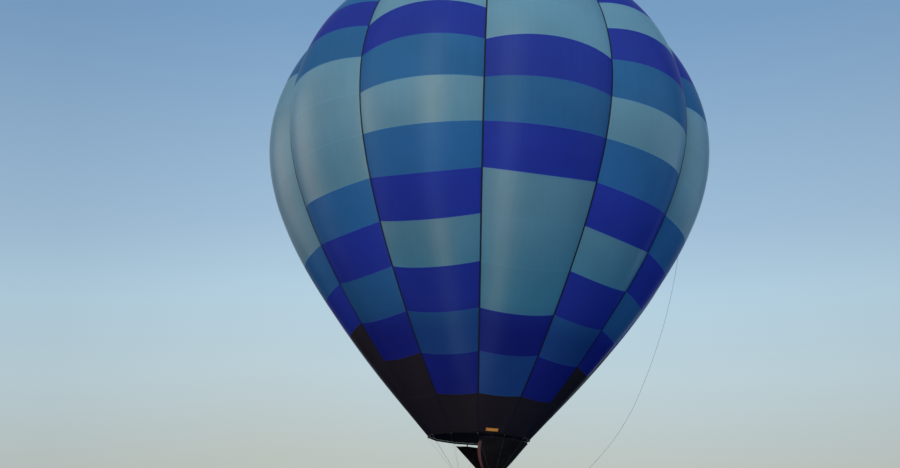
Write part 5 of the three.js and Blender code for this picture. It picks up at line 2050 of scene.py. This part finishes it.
def makeTanks():
    shape = tankShape
    half, wall = shape["strapHalf"], shape["strapRadius"]
    for i in (1, 2):
        low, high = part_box(f"fuel_cylinder_{i}")
        centre = Vector(((low.x + high.x) / 2, (low.y + high.y) / 2, low.z))
        form = Form()
        form.lathe(shape["profile"], centre, 72)
        form.piece(
            f"tank_shell_{i}", [steelLook], slot="burner_steel", replaced=[f"fuel_cylinder_{i}"],
        )
        straps = Form()
        for height in shape["straps"]:
            inner = wall - shape["strapThickness"]
            ends = (height - half, height + half)
            profile = ((inner, ends[0]), (wall, ends[0]), (wall, ends[1]), (inner, ends[1]))
            straps.lathe(profile, centre, 64, closed=True)
            buckle = centre + Vector((wall + 0.003, 0, height))
            straps.block(buckle, (0.006, 0.05, 2 * half + 0.01), 0.002, slot=1)
            foot, top = (buckle + Vector((0.003, -0.012, z)) for z in (-half, half))
            straps.rod(foot, top, 0.002, 8, 1)
        straps.piece(f"tank_straps_{i}", [tapeLook, boltLook], slot="load_tape")
        valve = Form()
        base = centre + upward(shape["valveHeight"])
        valve.lathe(shape["valve"], base, 24)
        valve.lathe(shape["outlet"], base + Vector((0.016, 0, 0.026)), 6, 0, (1, 0, 0))
        wheel = base + upward(0.064)
        turn = [
            wheel + outward(a) * (shape["wheel"] + shape["wheelLobe"] * cos(radians(a * 6)))
            for a in range(0, 360, 6)
        ]
        valve.tube(turn, 0.0045, 10, closed=True, slot=1)
        for a in (0, 60, 120):
            spoke = outward(a) * 0.028
            valve.rod(wheel - spoke, wheel + spoke, 0.003, 8, 1)
        valve.lathe(shape["wheelHub"], wheel, 16, 1)
        looks = [brassLook, leverLook]
        valve.piece(f"tank_valve_{i}", looks, slot="brass", replaced=[f"cylinder_valve_{i}"])


makeTanks()
print("fuel cylinders made")

# floor, backdrop and light

studio = {
    "floorHeight": -15.4085,
    "floorSize": 260,
    "floorColour": (0.58, 0.6, 0.585),
    # backdrop colours by the sine of the elevation
    "backdrop": (
        (0.09, (0.508, 0.556, 0.52)),
        (0.19, (0.508, 0.636, 0.687)),
        (0.28, (0.458, 0.636, 0.755)),
        (0.353, (0.364, 0.53, 0.697)),
        (0.56, (0.197, 0.353, 0.565)),
        (0.75, (0.121, 0.237, 0.43)),
    ),
    # how far the backdrop is drawn down towards the left, and how much it fades to both sides
    "leftEdge": (-0.52, -0.26),
    "leftShift": 0.05,
    "sideFade": 0.9,
    # strength of the world's light from straight above, as a share of that from the sides
    "topShare": 0.45,
    "lightLeft": (0.92, 0.82, 0.8),
    "lightRight": (0.82, 1.15, 1.34),
    "lightBelow": (0.002, 0.016, 0.06),
}


def addFloor():
    size, height, colour = studio["floorSize"], studio["floorHeight"], studio["floorColour"]
    corners = [(x * size, y * size, height) for x, y in ((-1, -1), (1, -1), (1, 1), (-1, 1))]
    floor = newPiece("studio_floor", corners, [(0, 1, 2, 3)])
    look = Look("paleFloor", Roughness=0.9)
    look.wear(Base_Color=look.mix(look.noise(look.place(), 0.2, 2), colour, tinted(colour, 0.96)))
    # clear from below
    below = look.node("ShaderNodeNewGeometry").outputs["Backfacing"]
    clear = look.node("ShaderNodeBsdfTransparent").outputs[0]
    output = next(n for n in look.tree.nodes if n.type == "OUTPUT_MATERIAL")
    look.put(output.inputs["Surface"], look.choose(below, look.shader.outputs[0], clear))
    floor.data.materials.append(look.material)
    floor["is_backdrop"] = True
    floor.visible_diffuse = False
    floor.visible_glossy = False
    floor.visible_shadow = False
    apart = bpy.data.collections.new("floorApart")
    apart.objects.link(floor)
    apart.collection_objects[0].light_linking.link_state = "EXCLUDE"
    return apart


def addBackdrop():
    world = bpy.data.worlds.new("studioWorld")
    world.use_nodes = True
    scene.world = world
    world.node_tree.nodes.clear()
    sky = Nodes(world.node_tree)
    direction = sky.node("ShaderNodeTexCoord").outputs["Generated"]
    toRight, _, toTop = sky.node("ShaderNodeSeparateXYZ", Vector=direction).outputs

    # what the camera sees
    shift = sky.ramp(toRight, *studio["leftEdge"], studio["leftShift"], 0, "LINEAR")
    colours = sky.node("ShaderNodeValToRGB")
    sky.put(colours.inputs[0], sky.math("ADD", toTop, shift))
    stops = colours.color_ramp.elements
    for i, (height, colour) in enumerate(studio["backdrop"]):
        stop = stops[i] if i < 2 else stops.new(height)
        stop.position, stop.color = height, (*colour, 1)
    fade = sky.ramp(sky.times(toRight, toRight), 0.02, 0.22, 1, studio["sideFade"], "LINEAR")
    seen = sky.node("ShaderNodeBackground", Color=colours.outputs[0], Strength=fade)

    # what lights the balloon: warm from the left, cool from the right, dark from below
    sides = sky.mix(sky.ramp(toRight, -1, 1, shape="LINEAR"), studio["lightLeft"], studio["lightRight"])
    colour = sky.mix(sky.ramp(toTop, -0.08, 0.08), studio["lightBelow"], sides)
    strength = sky.ramp(toTop, 0.1, 0.8, 1, studio["topShare"], "LINEAR")
    light = sky.node("ShaderNodeBackground", Color=colour, Strength=strength)

    camera = sky.node("ShaderNodeLightPath").outputs["Is Camera Ray"]
    output = sky.node("ShaderNodeOutputWorld")
    sky.put(output.inputs["Surface"], sky.choose(camera, light.outputs[0], seen.outputs[0]))


def addSoftbox(name, azimuth, elevation, distance, size, power, colour, sheen=True, body=True):
    # lights the balloon and leaves the floor to the backdrop's even light
    data = bpy.data.lights.new(name, "AREA")
    data.shape = "RECTANGLE"
    data.size, data.size_y = size
    data.energy = power
    data.color = colour
    lamp = bpy.data.objects.new(name, data)
    tilt = radians(elevation)
    back = outward(azimuth) * cos(tilt) + Vector((0, 0, sin(tilt)))
    lamp.location = upward(-2) + back * distance
    lamp.visible_glossy, lamp.visible_diffuse = sheen, body
    lamp.light_linking.receiver_collection = floorApart
    lamp.rotation_euler = (-back).to_track_quat("-Z", "Y").to_euler()
    scene.collection.objects.link(lamp)


floorApart = addFloor()
addBackdrop()
addSoftbox("warmKey", -13, 12, 60, (16, 70), 32000, (1.0, 0.84, 0.7), sheen=False)
addSoftbox("sheenHigh", -13, 12, 60, (16, 70), 16000, (1.0, 0.97, 0.92), body=False)
addSoftbox("sheenLow", -17, -42, 60, (18, 70), 10500, (1.0, 0.97, 0.92), body=False)
addSoftbox("leftPanel", -98, 2, 50, (30, 40), 4500, (1.0, 0.9, 0.8))
addSoftbox("rightPanel", 72, -6, 50, (30, 40), 2600, (0.6, 0.85, 1.0), sheen=False)
print("studio set")


def plain(box):
    return [[round(v, 6) for v in corner] for corner in box]


{"cad": plain(cadBox), "visual": plain(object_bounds())}
